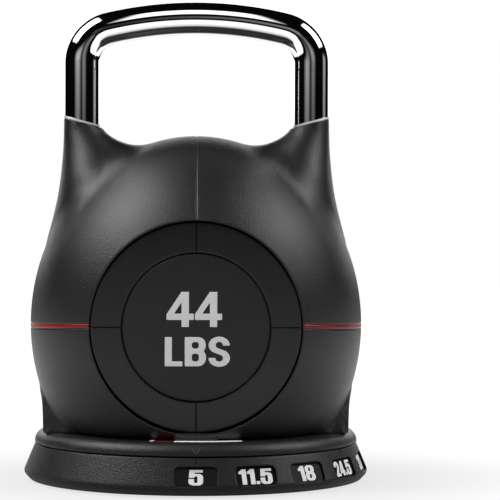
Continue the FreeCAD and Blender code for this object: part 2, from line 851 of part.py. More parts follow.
def make_plate_key(number):
    """Moulded key in the middle of a plate: a socket above, two tongues below, and a bore through both."""
    name = f"plate_key_{number}"
    top = "dish_floor" if number == 1 else "plate_thickness"
    solid = join(name + "_solid", key_socket(name, "0", top) + key_tongues(name, "0"))
    bore = cylinder(name + "_bore", "key_bore", "2 * plate_thickness", z="-key_block")
    piece = cut(name, solid, bore)
    place(piece, z=plate_floor(number))
    keep(piece, name)


# ---- frame inside the shell ----

def make_thrust_pad():
    """Pad that rests in the top plate, keyed to it, while the kettlebell turns above."""
    disc = cylinder("thrust_pad_disc", "pad_radius", "pad_thickness", z="pad_bottom")
    keep(join("thrust_pad", [disc] + key_tongues("thrust_pad", "pad_bottom")), "thrust_pad")


def make_spindle():
    """Steel pin that the kettlebell's frame turns on, and the clip that holds the frame to it."""
    spindle = cylinder("spindle", "spindle_radius", "spindle_top - pad_top", z="pad_top")
    keep(spindle, "spindle")
    ring = cylinder("clip_disc", "clip_radius", "clip_thickness", z="clip_bottom")
    hole = cylinder("clip_hole", "spindle_radius", "clip_thickness", z="clip_bottom")
    keep(cut("spindle_clip", ring, hole), "spindle_clip")


def bridge_solid(name, top):
    """The outline of the bridge: a bar with round ends."""
    bar = box(
        name + "_bar", "-bridge_end", "-bridge_half_width", "bridge_bottom",
        "2 * bridge_end", "2 * bridge_half_width", f"{top} - bridge_bottom",
    )
    ends = [
        cylinder(
            f"{name}_end_{side}", "bridge_half_width", f"{top} - bridge_bottom", x, "0", "bridge_bottom",
        )
        for side, x in (("left", "-bridge_end"), ("right", "bridge_end"))
    ]
    return join(name, [bar] + ends)


def make_bridge():
    """Steel bridge that joins both handle legs, the hook rails and the spindle."""
    holes = [
        cylinder("bridge_spindle_hole", "spindle_radius + spindle_slack", "leg_bottom", z="0"),
        cylinder("bridge_bolt_hole_left", "bolt_radius", "leg_bottom", "-leg_reach"),
        cylinder("bridge_bolt_hole_right", "bolt_radius", "leg_bottom", "leg_reach"),
    ]
    solid = bridge_solid("bridge_outline", "leg_bottom")
    keep(cut("crown_bridge", solid, join("bridge_holes", holes)), "crown_bridge")


def make_leg_fixings():
    """A plug in the foot of each handle leg, and the bolt that pulls it onto the bridge."""
    for side, x in (("left", "-leg_reach"), ("right", "leg_reach")):
        plug = cylinder(f"plug_{side}", "handle_bore", "plug_length", x, "0", "leg_bottom")
        thread = cylinder(f"plug_{side}_thread", "bolt_radius", "plug_length", x, "0", "leg_bottom")
        keep(cut(f"leg_plug_{side}", plug, thread), f"leg_plug_{side}")
        shank = cylinder(f"bolt_{side}_shank", "bolt_radius", "bolt_length", x, "0", "bridge_bottom")
        low = "bridge_bottom - bolt_head"
        head = cylinder(f"bolt_{side}_head", "bolt_head_radius", "bolt_head", x, "0", low)
        keep(join(f"bridge_bolt_{side}", [shank, head]), f"bridge_bolt_{side}")


def make_hook_rails():
    """A rail down each side with a hook under every plate's flange."""
    width = "2 * rail_half_width"
    for side, near, tip in (
        ("right", "rail_inner", "hook_tip"),
        ("left", "-rail_inner - rail_thickness", "-rail_inner"),
    ):
        name = f"hook_rail_{side}"
        bar = box(
            name + "_bar", near, "-rail_half_width", "rail_bottom",
            "rail_thickness", width, "bridge_bottom - rail_bottom",
        )
        parts = [bar]
        for number in range(1, SIZES["plate_count"] + 1):
            floor = f"{plate_floor(number)} + flange_bottom - hook_drop - hook_thickness"
            parts.append(box(
                f"{name}_hook_{number}", tip, "-rail_half_width", floor,
                "rail_inner - hook_tip", width, "hook_thickness",
            ))
        keep(join(name, parts), name)


def make_lock():
    """Ring with two noses for the top plate's slots, its push rods and its springs."""
    ring = cylinder("lock_ring_disc", "lock_ring_outer", "lock_ring_thickness", z="lock_ring_bottom")
    middle = cylinder("lock_ring_middle", "lock_ring_inner", "lock_ring_thickness", z="lock_ring_bottom")
    parts = [cut("lock_ring_plate", ring, middle)]
    for side, arm_y, nose_y in (
        ("front", "-nose_outer", "-nose_outer"),
        ("rear", "lock_arm_root", "nose_inner"),
    ):
        parts.append(box(
            f"lock_arm_{side}", "-lock_arm_half", arm_y, "lock_ring_bottom",
            "2 * lock_arm_half", "nose_outer - lock_arm_root", "lock_ring_thickness",
        ))
        parts.append(box(
            f"lock_nose_{side}", "-nose_half_width", nose_y, "nose_bottom",
            "2 * nose_half_width", "nose_outer - nose_inner", "lock_ring_bottom - nose_bottom",
        ))
    for side, sign, arm_x in (("right", 1, "lock_arm_root"), ("left", -1, "-rod_arm_end")):
        parts.append(box(
            f"rod_arm_{side}", arm_x, f"{sign} * rod_y - rod_arm_half", "lock_ring_bottom",
            "rod_arm_end - lock_arm_root", "2 * rod_arm_half", "lock_ring_thickness",
        ))
        rod = cylinder(f"lock_rod_{side}", "rod_radius", "lock_ring_bottom - rod_bottom")
        place(rod, f"{sign} * rod_x", f"{sign} * rod_y", "rod_bottom")
        keep(rod, f"lock_rod_{side}")
        spring = DOC.addObject("Part::Feature", f"lock_spring_{side}")
        spring.Shape = closed_coil(
            SIZES["lock_spring_radius"], SIZES["bridge_bottom"] - SIZES["lock_ring_top"],
        )
        spring.Placement.Base = FreeCAD.Vector(sign * SIZES["lock_spring_x"], 0, SIZES["lock_ring_top"])
        keep(spring, f"lock_spring_{side}")
    keep(join("lock_ring", parts), "lock_ring")


def closed_coil(radius, total):
    """A spring pressed solid: rings of wire that sink a little into each other."""
    turns = SIZES["lock_spring_turns"]
    wire = 0.5 * total / (turns - SIZES["lock_spring_bite"] * (turns - 1))
    pitch = 2 * wire * (1 - SIZES["lock_spring_bite"])
    heights = [wire + pitch * step for step in range(turns)]
    rings = [Part.makeTorus(radius, wire, FreeCAD.Vector(0, 0, height)) for height in heights]
    return rings[0].multiFuse(rings[1:])


# ---- handle ----

def make_handle():
    """Bent steel tube: two straight legs, two tight corners and a bowed grip."""
    body = new_body("handle_tube")
    spine = new_sketch(body, "XZ_Plane", "handle_centre_line")
    up = FreeCAD.Vector(0, 0, 1)
    reach = SIZES["leg_reach"]
    foot = SIZES["leg_bottom"]
    corner_x = SIZES["corner_centre_x"]
    corner_z = SIZES["corner_centre_z"]
    bow_z = SIZES["grip_bow_centre"]
    lean = math.atan2(corner_z - bow_z, corner_x)
    right = Part.Circle(FreeCAD.Vector(corner_x, corner_z, 0), up, SIZES["handle_corner"])
    bow = Part.Circle(FreeCAD.Vector(0, bow_z, 0), up, SIZES["grip_bow"])
    left = Part.Circle(FreeCAD.Vector(-corner_x, corner_z, 0), up, SIZES["handle_corner"])
    right_leg = Part.LineSegment(FreeCAD.Vector(reach, foot, 0), FreeCAD.Vector(reach, corner_z, 0))
    left_leg = Part.LineSegment(FreeCAD.Vector(-reach, corner_z, 0), FreeCAD.Vector(-reach, foot, 0))
    path = [
        right_leg,
        Part.ArcOfCircle(right, 0, lean),
        Part.ArcOfCircle(bow, lean, math.pi - lean),
        Part.ArcOfCircle(left, math.pi - lean, math.pi),
        left_leg,
    ]
    for piece in path:
        spine.addGeometry(piece)
    pin_point(spine, 0, 1, "leg_reach", "leg_bottom")
    pin_point(spine, 4, 2, "-leg_reach", "leg_bottom")
    pin_point(spine, 2, 3, "0", "grip_bow_centre")
    spine.addConstraint(Sketcher.Constraint("Vertical", 0))
    spine.addConstraint(Sketcher.Constraint("Vertical", 4))
    for curve in range(4):
        spine.addConstraint(Sketcher.Constraint("Tangent", curve, 2, curve + 1, 1))
    for curve, size in ((1, "handle_corner"), (2, "grip_bow"), (3, "handle_corner")):
        held = spine.addConstraint(Sketcher.Constraint("Radius", curve, SIZES[size]))
        spine.setExpression(f"Constraints[{held}]", formula(size))
    section = new_sketch(body, "XY_Plane", "handle_section", lift="leg_bottom")
    add_circle(section, "leg_reach", "0", "handle_radius")
    add_circle(section, "leg_reach", "0", "handle_bore")
    DOC.recompute()
    pipe = body.newObject("PartDesign::AdditivePipe", "handle_bent")
    pipe.Profile = section
    pipe.Spine = (spine, [f"Edge{number}" for number in range(1, len(path) + 1)])
    keep(body, "handle_tube")


def tilted_slab(name, side, bottom, height):
    """A slab across one handle leg, tilted outwards and upwards as the shell's shoulders are cut."""
    slab = DOC.addObject("Part::Box", name)
    bind(slab, "Length", "8 * handle_radius")
    bind(slab, "Width", "4 * handle_radius")
    bind(slab, "Height", height)
    sign = 1 if side == "right" else -1
    tilt = FreeCAD.Rotation(FreeCAD.Vector(0, 1, 0), -sign * SIZES["collar_tilt"])
    corner = FreeCAD.Vector(-4 * SIZES["handle_radius"], -2 * SIZES["handle_radius"], 0)
    centre = FreeCAD.Vector(sign * SIZES["leg_reach"], 0, bottom)
    slab.Placement = FreeCAD.Placement(centre + tilt.multVec(corner), tilt)
    return slab


def make_collars():
    """Bright trim ring where each leg enters the shell."""
    for side, x in (("left", "-leg_reach"), ("right", "leg_reach")):
        name = f"collar_{side}"
        sleeve = cylinder(name + "_sleeve", "collar_radius", "total_height", x, "0", "0")
        leg = cylinder(name + "_leg", "handle_radius", "total_height", x, "0", "0")
        slab = tilted_slab(name + "_slab", side, SIZES["collar_height"], "collar_thickness")
        keep(cut(name, overlap(name + "_disc", [sleeve, slab]), leg), name)


# ---- shell ----

def ellipse_edge(curve, start, end):
    """The short way round an ellipse between two of its points."""
    first, last = sorted((curve.parameter(start), curve.parameter(end)))
    if last - first > math.pi:
        first, last = last, first + 2 * math.pi
    return curve.toShape(first, last)


def egg(name, inset, floor_name):
    """The round body, set in by a distance: an upper and a lower ellipse turned about Z.

    No primitive makes one solid of two ellipses, so its shape is worked out here.
    """
    radius = SIZES["body_radius"] - inset
    drop = SIZES["belly_drop"] - inset
    middle = SIZES["equator"]
    floor = SIZES[floor_name]
    depth = (middle - floor) / drop
    centre = FreeCAD.Vector(0, 0, middle)
    crown = FreeCAD.Vector(0, 0, middle + SIZES["crown_rise"] - inset)
    side = FreeCAD.Vector(radius, 0, middle)
    foot = FreeCAD.Vector(radius * math.sqrt(1 - depth ** 2), 0, floor)
    base = FreeCAD.Vector(0, 0, floor)
    edges = [
        ellipse_edge(Part.Ellipse(crown, side, centre), crown, side),
        ellipse_edge(Part.Ellipse(FreeCAD.Vector(0, 0, middle - drop), side, centre), side, foot),
        Part.makeLine(foot, base),
        Part.makeLine(base, crown),
    ]
    outline = Part.Face(Part.Wire(edges))
    solid = DOC.addObject("Part::Feature", name)
    solid.Shape = outline.revolve(FreeCAD.Vector(), FreeCAD.Vector(0, 0, 1), FULL_TURN)
    return solid


def make_flare(side):
    """Flare that carries the round body up round one handle leg."""
    sign = 1 if side == "right" else -1
    rings = []
    for number, (height, inner, outer) in enumerate(FLARE_SECTIONS, start=1):
        ring = DOC.addObject("Part::Circle", f"flare_{side}_{number}")
        ring.Radius = 0.5 * (outer - inner)
        ring.Placement.Base = FreeCAD.Vector(sign * 0.5 * (outer + inner), 0, height)
        rings.append(ring)
    loft = DOC.addObject("Part::Loft", f"flare_{side}")
    loft.Sections = rings
    loft.Solid = True
    loft.Ruled = True
    slab = tilted_slab(f"flare_{side}_slab", side, SIZES["collar_height"], "4 * handle_radius")
    return cut(f"flare_{side}_cut", loft, slab)


def make_ear(side):
    """Straight-sided ear low on one side of the shell, which takes in a post of the base."""
    outlines = []
    for level, reach, half, height in (
        ("bottom", "ear_bottom_reach", "ear_bottom_half", "shell_bottom"),
        ("top", "ear_top_reach", "ear_top_half", "ear_top"),
    ):
        outline = DOC.addObject("Part::Plane", f"ear_{side}_{level}")
        bind(outline, "Length", f"{reach} - ear_root")
        bind(outline, "Width", f"2 * {half}")
        place(outline, "ear_root" if side == "right" else f"-{reach}", f"-{half}", height)
        outlines.append(outline)
    ear = DOC.addObject("Part::Loft", f"ear_{side}")
    ear.Sections = outlines
    ear.Solid = True
    ear.Ruled = True
    return ear


def make_lip(name):
    """Cone that turns the shell's lowest edge inwards."""
    lip = DOC.addObject("Part::Cone", name)
    bind(lip, "Radius1", "lip_radius")
    bind(lip, "Radius2", "lip_radius + lip_slope * total_height")
    bind(lip, "Height", "total_height")
    place(lip, z="shell_bottom")
    return lip


def make_shell_outside():
    """The shell's outer form, solid."""
    round_part = overlap("outside_round", [egg("outside_egg", 0, "shell_bottom"), make_lip("shell_lip")])
    flares = [make_flare("left"), make_flare("right")]
    ears = [make_ear("left"), make_ear("right")]
    return join("shell_outside", [round_part] + flares + ears)


def make_shell_inside():
    """Everything that is taken out of the shell for the plates, the frame, the legs and the posts."""
    room = box(
        "inside_room", "-body_radius", "-face_inner", "lip_height",
        "2 * body_radius", "2 * face_inner", "total_height",
    )
    room_shape = overlap("inside_trimmed", [egg("inside_egg", SIZES["wall"], "lip_height"), room])
    mouth = cylinder("mouth", "mouth_radius", "lip_height", z="0")
    holes = [room_shape, mouth, bridge_solid("bridge_room", "leg_bottom")]
    for side, sign, near in (("left", "-", "-ear_cavity_outer"), ("right", "", "ear_cavity_inner")):
        holes.append(cylinder(
            f"leg_hole_{side}", "handle_radius", "total_height", f"{sign}leg_reach", "0", "leg_bottom",
        ))
        holes.append(cylinder(
            f"shoulder_room_{side}", "bridge_half_width", "bridge_bottom - horn_cavity_bottom",
            f"{sign}bridge_end", "0", "horn_cavity_bottom",
        ))
        holes.append(box(
            f"ear_room_{side}", near, "-ear_cavity_half", "0",
            "ear_cavity_outer - ear_cavity_inner", "2 * ear_cavity_half", "ear_cavity_top",
        ))
    return join("shell_inside", holes)


def make_face_recesses():
    """Round recesses in the front and the back for the face rings."""
    recesses = []
    for side, angle in (("front", 90), ("rear", -90)):
        disc = cylinder(f"recess_{side}", "ring_opening", "2 * wall + face_seat")
        sign = -1 if side == "front" else 1
        place(disc, "0", f"{sign} * face_seat", "face_height")
        turn(disc, (1, 0, 0), angle)
        recesses.append(disc)
    return join("face_recesses", recesses)


def make_band_ring():
    """The band's full ring, from which its groove and its two halves are taken."""
    outer = cylinder("band_outer", "body_radius", "band_height", z="band_low")
    inner = cylinder("band_inner", "body_radius - band_depth", "band_height", z="band_low")
    return cut("band_ring", outer, inner)


def half_block(name, x, floor, height):
    """A block over one side of the body, between two heights."""
    return box(name + "_block", x, "-body_radius", floor, "body_radius", "2 * body_radius", height)


def make_shell():
    """Four shell quarters and the two halves of the band between them, and the tab under the front."""
    outside = make_shell_outside()
    recesses = make_face_recesses()
    band = make_band_ring()
    taken = join("shell_taken", [make_shell_inside(), recesses, band])
    hollow = cut("shell_hollow", outside, taken)
    halves = (("left", "-body_radius"), ("right", "0"))
    levels = (("upper", "band_middle", "total_height"), ("lower", "0", "band_middle"))
    for level, floor, height in levels:
        for side, x in halves:
            name = f"shell_{level}_{side}"
            keep(overlap(name, [hollow, half_block(name, x, floor, height)]), name)
    clear_band = cut("band_clear", band, recesses)
    for side, x in halves:
        name = f"band_{side}"
        keep(overlap(name, [clear_band, half_block(name, x, "0", "total_height")]), name)
    tab = box(
        "tab_block", "-tab_half_width", "-tab_face", "shell_bottom",
        "2 * tab_half_width", "tab_face - mouth_radius", "tab_height",
    )
    keep(cut("front_tab", tab, make_lip("tab_lip")), "front_tab")


def make_faces():
    """A plain ring and a domed badge in the front and in the back."""
    ring = [
        ("ring_inner_radius", "face_seat"),
        ("ring_radius", "face_seat"),
        ("ring_radius", "ring_edge_face"),
        ("ring_inner_radius", "ring_inner_face"),
    ]
    badge = [
        ("0", "face_seat"),
        ("badge_radius", "face_seat"),
        ("badge_radius", "badge_edge_face"),
        ("badge_shoulder", "badge_shoulder_face"),
        ("0", "badge_face"),
    ]
    for side, angle in (("front", 90), ("rear", -90)):
        for name, points in ((f"face_ring_{side}", ring), (f"badge_{side}", badge)):
            piece = turned_piece(name, points, z="face_height")
            turn(piece, (1, 0, 0), angle)


# ---- everything ----

def check_pieces():
    """Stop if anything failed to build."""
    for thing in DOC.Objects:
        if "Invalid" in thing.State or "Error" in thing.State:
            raise RuntimeError(f"{thing.Name} failed: {thing.State}")
    for piece in PIECES:
        shape = piece.Shape
        if shape.isNull() or not shape.isValid() or not shape.Solids:
            raise RuntimeError(f"{piece.Label} is not a sound solid")


def write_pieces():
    """Write one file for each piece."""
    os.makedirs("parts", exist_ok=True)
    for piece in PIECES:
        piece.Shape.exportStep(os.path.join("parts", piece.Label + ".step"))
        volume = piece.Shape.Volume / 1000
        print(f"{piece.Label}: {volume:.1f} cm3, {len(piece.Shape.Solids)} solid")


fill_sheet()
make_pan()
make_feet()
make_number_ring()
make_hub()
make_hub_screws()
make_hub_key()
make_glide_ring()
make_detent()
make_turntable_cover()
make_posts()
make_label_strip()
for plate_number in range(1, SIZES["plate_count"] + 1):
    make_plate(plate_number)
    make_plate_key(plate_number)
make_thrust_pad()
make_spindle()
make_bridge()
make_leg_fixings()
make_hook_rails()
make_lock()
make_handle()
make_collars()
make_shell()
make_faces()
DOC.recompute()
check_pieces()
write_pieces()
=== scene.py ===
"""Looks of the adjustable kettlebell on its dial base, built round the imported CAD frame."""
import json
import math

import bpy
import numpy as np
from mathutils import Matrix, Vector


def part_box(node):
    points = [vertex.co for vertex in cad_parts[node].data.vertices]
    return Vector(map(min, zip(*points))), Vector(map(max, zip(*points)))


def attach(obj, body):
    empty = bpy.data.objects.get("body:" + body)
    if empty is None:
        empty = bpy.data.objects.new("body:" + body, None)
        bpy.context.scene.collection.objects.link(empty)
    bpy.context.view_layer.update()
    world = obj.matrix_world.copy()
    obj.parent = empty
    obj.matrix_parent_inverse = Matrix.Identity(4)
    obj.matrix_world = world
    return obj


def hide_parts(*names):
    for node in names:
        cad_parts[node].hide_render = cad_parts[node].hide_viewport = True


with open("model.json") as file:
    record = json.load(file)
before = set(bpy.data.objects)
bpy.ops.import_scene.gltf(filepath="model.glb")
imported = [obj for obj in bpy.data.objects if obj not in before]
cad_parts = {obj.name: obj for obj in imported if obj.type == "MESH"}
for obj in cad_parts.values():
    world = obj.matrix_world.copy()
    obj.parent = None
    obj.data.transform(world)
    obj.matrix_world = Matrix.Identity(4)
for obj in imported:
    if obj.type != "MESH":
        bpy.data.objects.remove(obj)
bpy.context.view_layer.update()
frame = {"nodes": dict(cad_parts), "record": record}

MM = 0.001

# Round body, in millimetres: height of its widest level, and how far it reaches above and below that.
EQUATOR = 112.0
CROWN_RISE = 135.5
BELLY_DROP = 133.0
# Inward tuck of the body above the cover.
LIP_RADIUS = 93.0
LIP_SLOPE = 1.5
SKIN_BOTTOM = 36.6
SHELL_THICKNESS = 2.5
# Round openings for the faces, and the tilted ends of the horns at the collars.
FACE_HEIGHT = 114.2
FACE_OPENING = 73.7
COLLAR_HEIGHT = 257.0
COLLAR_TILT = 14.4
COLLAR_INNER = 64.0
# Red band: its thickness, and how much it rises towards the faces.
BAND_THICKNESS = 2.0
BAND_BOW = 3.2
# Edges of the skins turn in by a depth over a reach.
EDGE_REACH = 0.9
EDGE_DEPTH = 0.45
SPHERE_COUNT = 110
# Straight-sided ear over each post: how it narrows and leans out with height.
EAR_RISE = 31.6
EAR_FACE = 108.2
EAR_LEAN = 2.6
EAR_HALF_WIDTH = 43.0
EAR_NARROWING = 28.0
EAR_TOP = 66.0
EAR_INNER = 84.0
# Handle: a bowed grip, two rounded corners and two legs.
GRIP_TOP = 332.2
GRIP_BOW = 275.0
GRIP_RADIUS = 11.75
CORNER_RADIUS = 25.0
HANDLE_RADIUS = 12.6
LEG_REACH = 82.7
LEG_BOTTOM = 208.0
TUBE_SIDES = 72
# Ring and badge of each face, measured from the face's centre. A hidden skirt closes the gap round the ring.
RING_RADIUS = 72.5
RING_INNER = 51.6
RING_EDGE_FACE = 94.0
RING_INNER_FACE = 95.6
FACE_SEAT = 89.8
RING_LAP = 2.4
RING_LEDGE_DROP = 0.3
RING_LEDGE_THICKNESS = 7.0
RING_SKIRT = 7.0
SKIRT_EDGE = 1.5
SKIRT_CLEARANCE = 1.2
GROOVE_HALF = 0.5
GROOVE_DEPTH = 0.6
BADGE_RADIUS = 50.7
BADGE_SHOULDER = 49.5
BADGE_FACE = 97.6
BADGE_DOME = 2.0
BADGE_POWER = 3.0
ROUND_COUNT = 240
# Dial ring of the base, with its sunk windows and the line engraved above each.
RING_UNDERSIDE = 1.2
BASE_RADIUS = 124.4
BASE_WIDEST = 6.4
RING_TOP_RADIUS = 115.8
RING_TOP = 26.9
RING_FOOT = 119.5
RING_MOUTH = 108.8
RING_SHELF = 20.0
RING_SHELF_REACH = 114.7
RING_INSIDE = 120.4
RING_SEAT = 4.2
WINDOW_COUNT = 7
WINDOW_HALF_WIDTH = 14.6
WINDOW_HALF_HEIGHT = 7.0
WINDOW_CORNER = 3.2
WINDOW_DEPTH = 2.2
WINDOW_HEIGHT = 14.6
WINDOW_STEP = 20.0
WINDOW_REGION = 3.0
WINDOW_EDGE = 0.6 * EDGE_REACH
TICK_HALF = 0.45
TICK_DEPTH = 0.4
TICK_GAP = 0.6
# Printing: how far it stands off its surface, and how thick it is.
PRINT_PROUD = 0.12
PRINT_THICKNESS = 0.25
BADGE_PRINT_STEP = 0.4
DIAL_PRINT_STEP = 0.25
DIGIT_GAP = 0.55
DIGIT_MIDDLE = 5.4
# Cover that turns with the kettlebell, its label strip, its mark, and the tab above it.
COVER_TOP = 36.4
COVER_UNDERSIDE = 27.7
COVER_ROUND = 8.2
COVER_HOLE = 83.0
COVER_HOLE_LEDGE = 32.0
COVER_HOLE_FOOT = 28.6
COVER_CEILING = 30.6
COVER_RIM_INNER = 112.9
COVER_STEP = 86.0
COVER_HUB = 89.4
SKID_INNER = 95.0
SKID_OUTER = 99.0
SKID_BOTTOM = 21.0
STRIP_INNER = 97.8
STRIP_OUTER = 104.5
STRIP_PROUD = 0.22
STRIP_THICKNESS = 0.2
MARK_PROUD = 0.06
MARK_HALF_WIDTH = 0.27
MARK_STEP = 0.16
TAB_FRONT = -98.4
TAB_HEIGHT = 5.0
# Flare round each handle leg: height, how far out its inner and outer edges lie, and half its depth.
FLARE = (
    (130.0, 62.0, 108.0, 44.0),
    (160.0, 56.0, 109.8, 44.0),
    (172.0, 52.0, 107.9, 43.5),
    (183.0, 50.0, 104.9, 42.5),
    (195.0, 48.0, 101.9, 41.0),
    (206.0, 46.5, 99.6, 39.5),
    (218.0, 45.5, 97.9, 36.0),
    (229.5, 46.5, 96.8, 29.5),
    (237.0, 51.0, 96.2, 24.5),
    (243.0, 58.0, 95.9, 20.3),
    (249.0, 65.2, 95.8, 16.4),
    (255.0, 69.2, 95.7, 13.6),
    (262.0, 69.7, 95.6, 12.9),
    (270.0, 69.7, 95.6, 12.9),
)
# Blend between flare and body: narrow on the leg's outer side, and wider past two bearings round the leg.
BLEND_OUTER = 0.5
BLEND_SIDE = 11.5
BLEND_SIDE_FROM = 15
BLEND_BACK = 14.0
BLEND_BACK_FROM = 100
BLEND_SPREAD = 60
# Camera: place and aim in metres, lens in millimetres, and a slight roll in radians.
CAMERA_PLACE = (0.0, -1.823, 0.209)
CAMERA_AIM = (0.0388, 0.0, 0.1653)
CAMERA_LENS = 181.5
CAMERA_ROLL = 0.003


# ---- reading the frame ----

def span(node, axis):
    """Lowest and highest value of a CAD node along one axis, in millimetres."""
    low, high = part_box(node)
    return low[axis] / MM, high[axis] / MM


BODY_RADIUS = span("shell_upper_right", 0)[1]
BAND_LOW, BAND_HIGH = span("band_right", 2)
SHELL_BOTTOM = span("shell_lower_right", 2)[0]


# ---- meshes ----

def add_piece(name, points, faces, body, slot, material=None, replaced=()):
    """A mesh object from points in millimetres, riding on a CAD body, in its slot's material or another."""
    mesh = bpy.data.meshes.new(name)
    mesh.from_pydata((np.asarray(points) * MM).tolist(), [], [list(map(int, face)) for face in faces])
    mesh.validate()
    mesh.shade_smooth()
    piece = bpy.data.objects.new(name, mesh)
    bpy.context.scene.collection.objects.link(piece)
    piece.data.materials.append(material or MATERIALS[slot])
    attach(piece, body)
    if replaced:
        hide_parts(*replaced)
    return piece


def sharpen(piece, degrees=35.0):
    """Keep edges steeper than an angle sharp."""
    piece.data.set_sharp_from_angle(angle=math.radians(degrees))


def solidify(piece, thickness):
    """Give a surface its thickness, inwards."""
    wall = piece.modifiers.new("wall", "SOLIDIFY")
    wall.thickness = thickness * MM
    wall.offset = -1.0
    wall.use_even_offset = False
    wall.thickness_clamp = 1.0


# ---- cutting triangle meshes along the line where a value is zero ----

def split(points, triangles, level):
    """Cut each triangle that a level line crosses, so that no triangle has both signs."""
    value = level(points)
    value[np.abs(value) < 1e-4] = 0.0
    signs = np.sign(value)[triangles]
    crossed = (signs.min(1) < 0) & (signs.max(1) > 0)
    kept = [triangles[~crossed]]
    made = {}
    new_points = []

    def crossing(a, b):
        key = (min(a, b), max(a, b))
        if key not in made:
            share = value[a] / (value[a] - value[b])
            made[key] = len(points) + len(new_points)
            new_points.append(points[a] + (points[b] - points[a]) * share)
        return made[key]

    fresh = []
    for corners in triangles[crossed]:
        ring = []
        for here, there in zip(corners, np.roll(corners, -1)):
            ring.append(int(here))
            if value[here] * value[there] < 0:
                ring.append(crossing(int(here), int(there)))
        on_line = {index for index in ring if index >= len(points) or value[index] == 0}
        for sign in (-1, 1):
            side = [index for index in ring if index in on_line or value[index] * sign > 0]
            for step in range(1, len(side) - 1):
                fresh.append((side[0], side[step], side[step + 1]))
    if fresh:
        kept.append(np.array(fresh, int))
        points = np.vstack([points, np.array(new_points)])
    return points, np.vstack(kept)


def clip(points, triangles, level):
    """Keep the part of a mesh where a level is above zero."""
    points, triangles = split(points, triangles, level)
    value = level(points)
    value[np.abs(value) < 1e-3] = 0.0
    triangles = triangles[value[triangles].sum(1) > 0]
    used, triangles = np.unique(triangles, return_inverse=True)
    return points[used], triangles.reshape(-1, 3)


def weld(points, triangles):
    """Merge points that lie on each other, and drop triangles that vanish."""
    _, first, inverse = np.unique(np.round(points, 4), axis=0, return_index=True, return_inverse=True)
    triangles = inverse.reshape(-1)[triangles]
    whole = (triangles[:, 0] != triangles[:, 1]) & (triangles[:, 1] != triangles[:, 2])
    whole &= triangles[:, 2] != triangles[:, 0]
    return points[first], triangles[whole]


def facing_out(points, triangles):
    """Turn the triangles of a closed mesh so that they face out."""
    a, b, c = (points[triangles[:, corner]] for corner in range(3))
    volume = (a * np.cross(b, c)).sum()
    return triangles if volume > 0 else triangles[:, ::-1]


def lattice(rows, columns, wrap_rows, wrap_columns):
    """Triangles over a lattice of points, numbered row by row."""
    index = np.arange(rows * columns).reshape(rows, columns)
    if wrap_rows:
        index = np.vstack([index, index[:1]])
    if wrap_columns:
        index = np.hstack([index, index[:, :1]])
    a, b = index[:-1, :-1].ravel(), index[1:, :-1].ravel()
    c, d = index[1:, 1:].ravel(), index[:-1, 1:].ravel()
    return np.vstack([np.stack([a, b, c], 1), np.stack([a, c, d], 1)])


def closed_tube(rings):
    """Points and triangles of a tube through rings of points, closed flat at both ends."""
    sides = len(rings[0])
    caps = []
    last = (len(rings) - 1) * sides
    for side in range(1, sides - 1):
        caps.append((0, side, side + 1))
        caps.append((last, last + side + 1, last + side))
    points = np.vstack(rings)
    triangles = np.vstack([lattice(len(rings), sides, False, True), np.array(caps)])
    return points, facing_out(points, triangles)


def vertex_normals(points, triangles):
    """Directions at right angles to the surface."""
    a, b, c = (points[triangles[:, corner]] for corner in range(3))
    across = np.cross(b - a, c - a)
    normals = np.zeros(points.shape)
    for corner in range(3):
        np.add.at(normals, triangles[:, corner], across)
    return normals / np.maximum(np.linalg.norm(normals, axis=1), 1e-12)[:, None]


def cut_out(points, triangles, levels):
    """Keep the part of a surface where all levels are above zero, with edges that turn inwards."""
    for level in levels:
        for share in (1.0, 0.4):
            points, triangles = split(points, triangles, lambda p: level(p) - share * EDGE_REACH)
        points, triangles = clip(points, triangles, level)
    depth = sum(np.clip(1 - level(points) / EDGE_REACH, 0, 1) ** 2 for level in levels)
    points = points - vertex_normals(points, triangles) * (np.minimum(depth, 1.2) * EDGE_DEPTH)[:, None]
    return points, triangles


def soften(corners, steps=5):
    """A closed outline from corners (reach, height, setback), each rounded over its setback."""
    outline = []
    places = [np.array(corner[:2]) for corner in corners]
    for number, (here, corner) in enumerate(zip(places, corners)):
        before = places[number - 1] - here
        after = places[(number + 1) % len(places)] - here
        setback = corner[2]
        if not setback:
            outline.append(here)
            continue
        before = before / np.linalg.norm(before)
        after = after / np.linalg.norm(after)
        pull = math.sqrt(0.5 * (1 - before @ after))
        for share in np.linspace(0, 1, steps + 1):
            weights = np.array([(1 - share) ** 2, 2 * share * (1 - share) * pull, share ** 2])
            ends = np.array([here + before * setback, here, here + after * setback])
            outline.append(weights @ ends / weights.sum())
    return np.array(outline)


def refine(outline, longest):
    """Divide the runs of a closed outline that are longer than a length."""
    fine = []
    for here, there in zip(outline, np.roll(outline, -1, axis=0)):
        pieces = max(1, math.ceil(np.linalg.norm(there - here) / longest))
        fine.extend(here + (there - here) * step / pieces for step in range(pieces))
    return np.array(fine)


def turned(outline, count):
    """A closed outline (reach, height) turned once round Z."""
    angles = np.arange(count) * 2 * math.pi / count
    reach, height = outline[:, 0], outline[:, 1]
    x = np.cos(angles)[:, None] * reach
    y = np.sin(angles)[:, None] * reach
    z = np.ones((count, 1)) * height
    points = np.stack([x.ravel(), y.ravel(), z.ravel()], 1)
    return weld(points, lattice(count, len(outline), True, True))


# ---- the shell's outer form ----

def union(a, b, width):
    """Two distances joined, with the crease between them filled over a width."""
    share = np.clip(0.5 + 0.5 * (b - a) / width, 0, 1)
    return b + (a - b) * share - width * share * (1 - share)


def meet(a, b, width):
    """What two forms have in common, with the edge between them rounded over a width."""
    return -union(-a, -b, width)


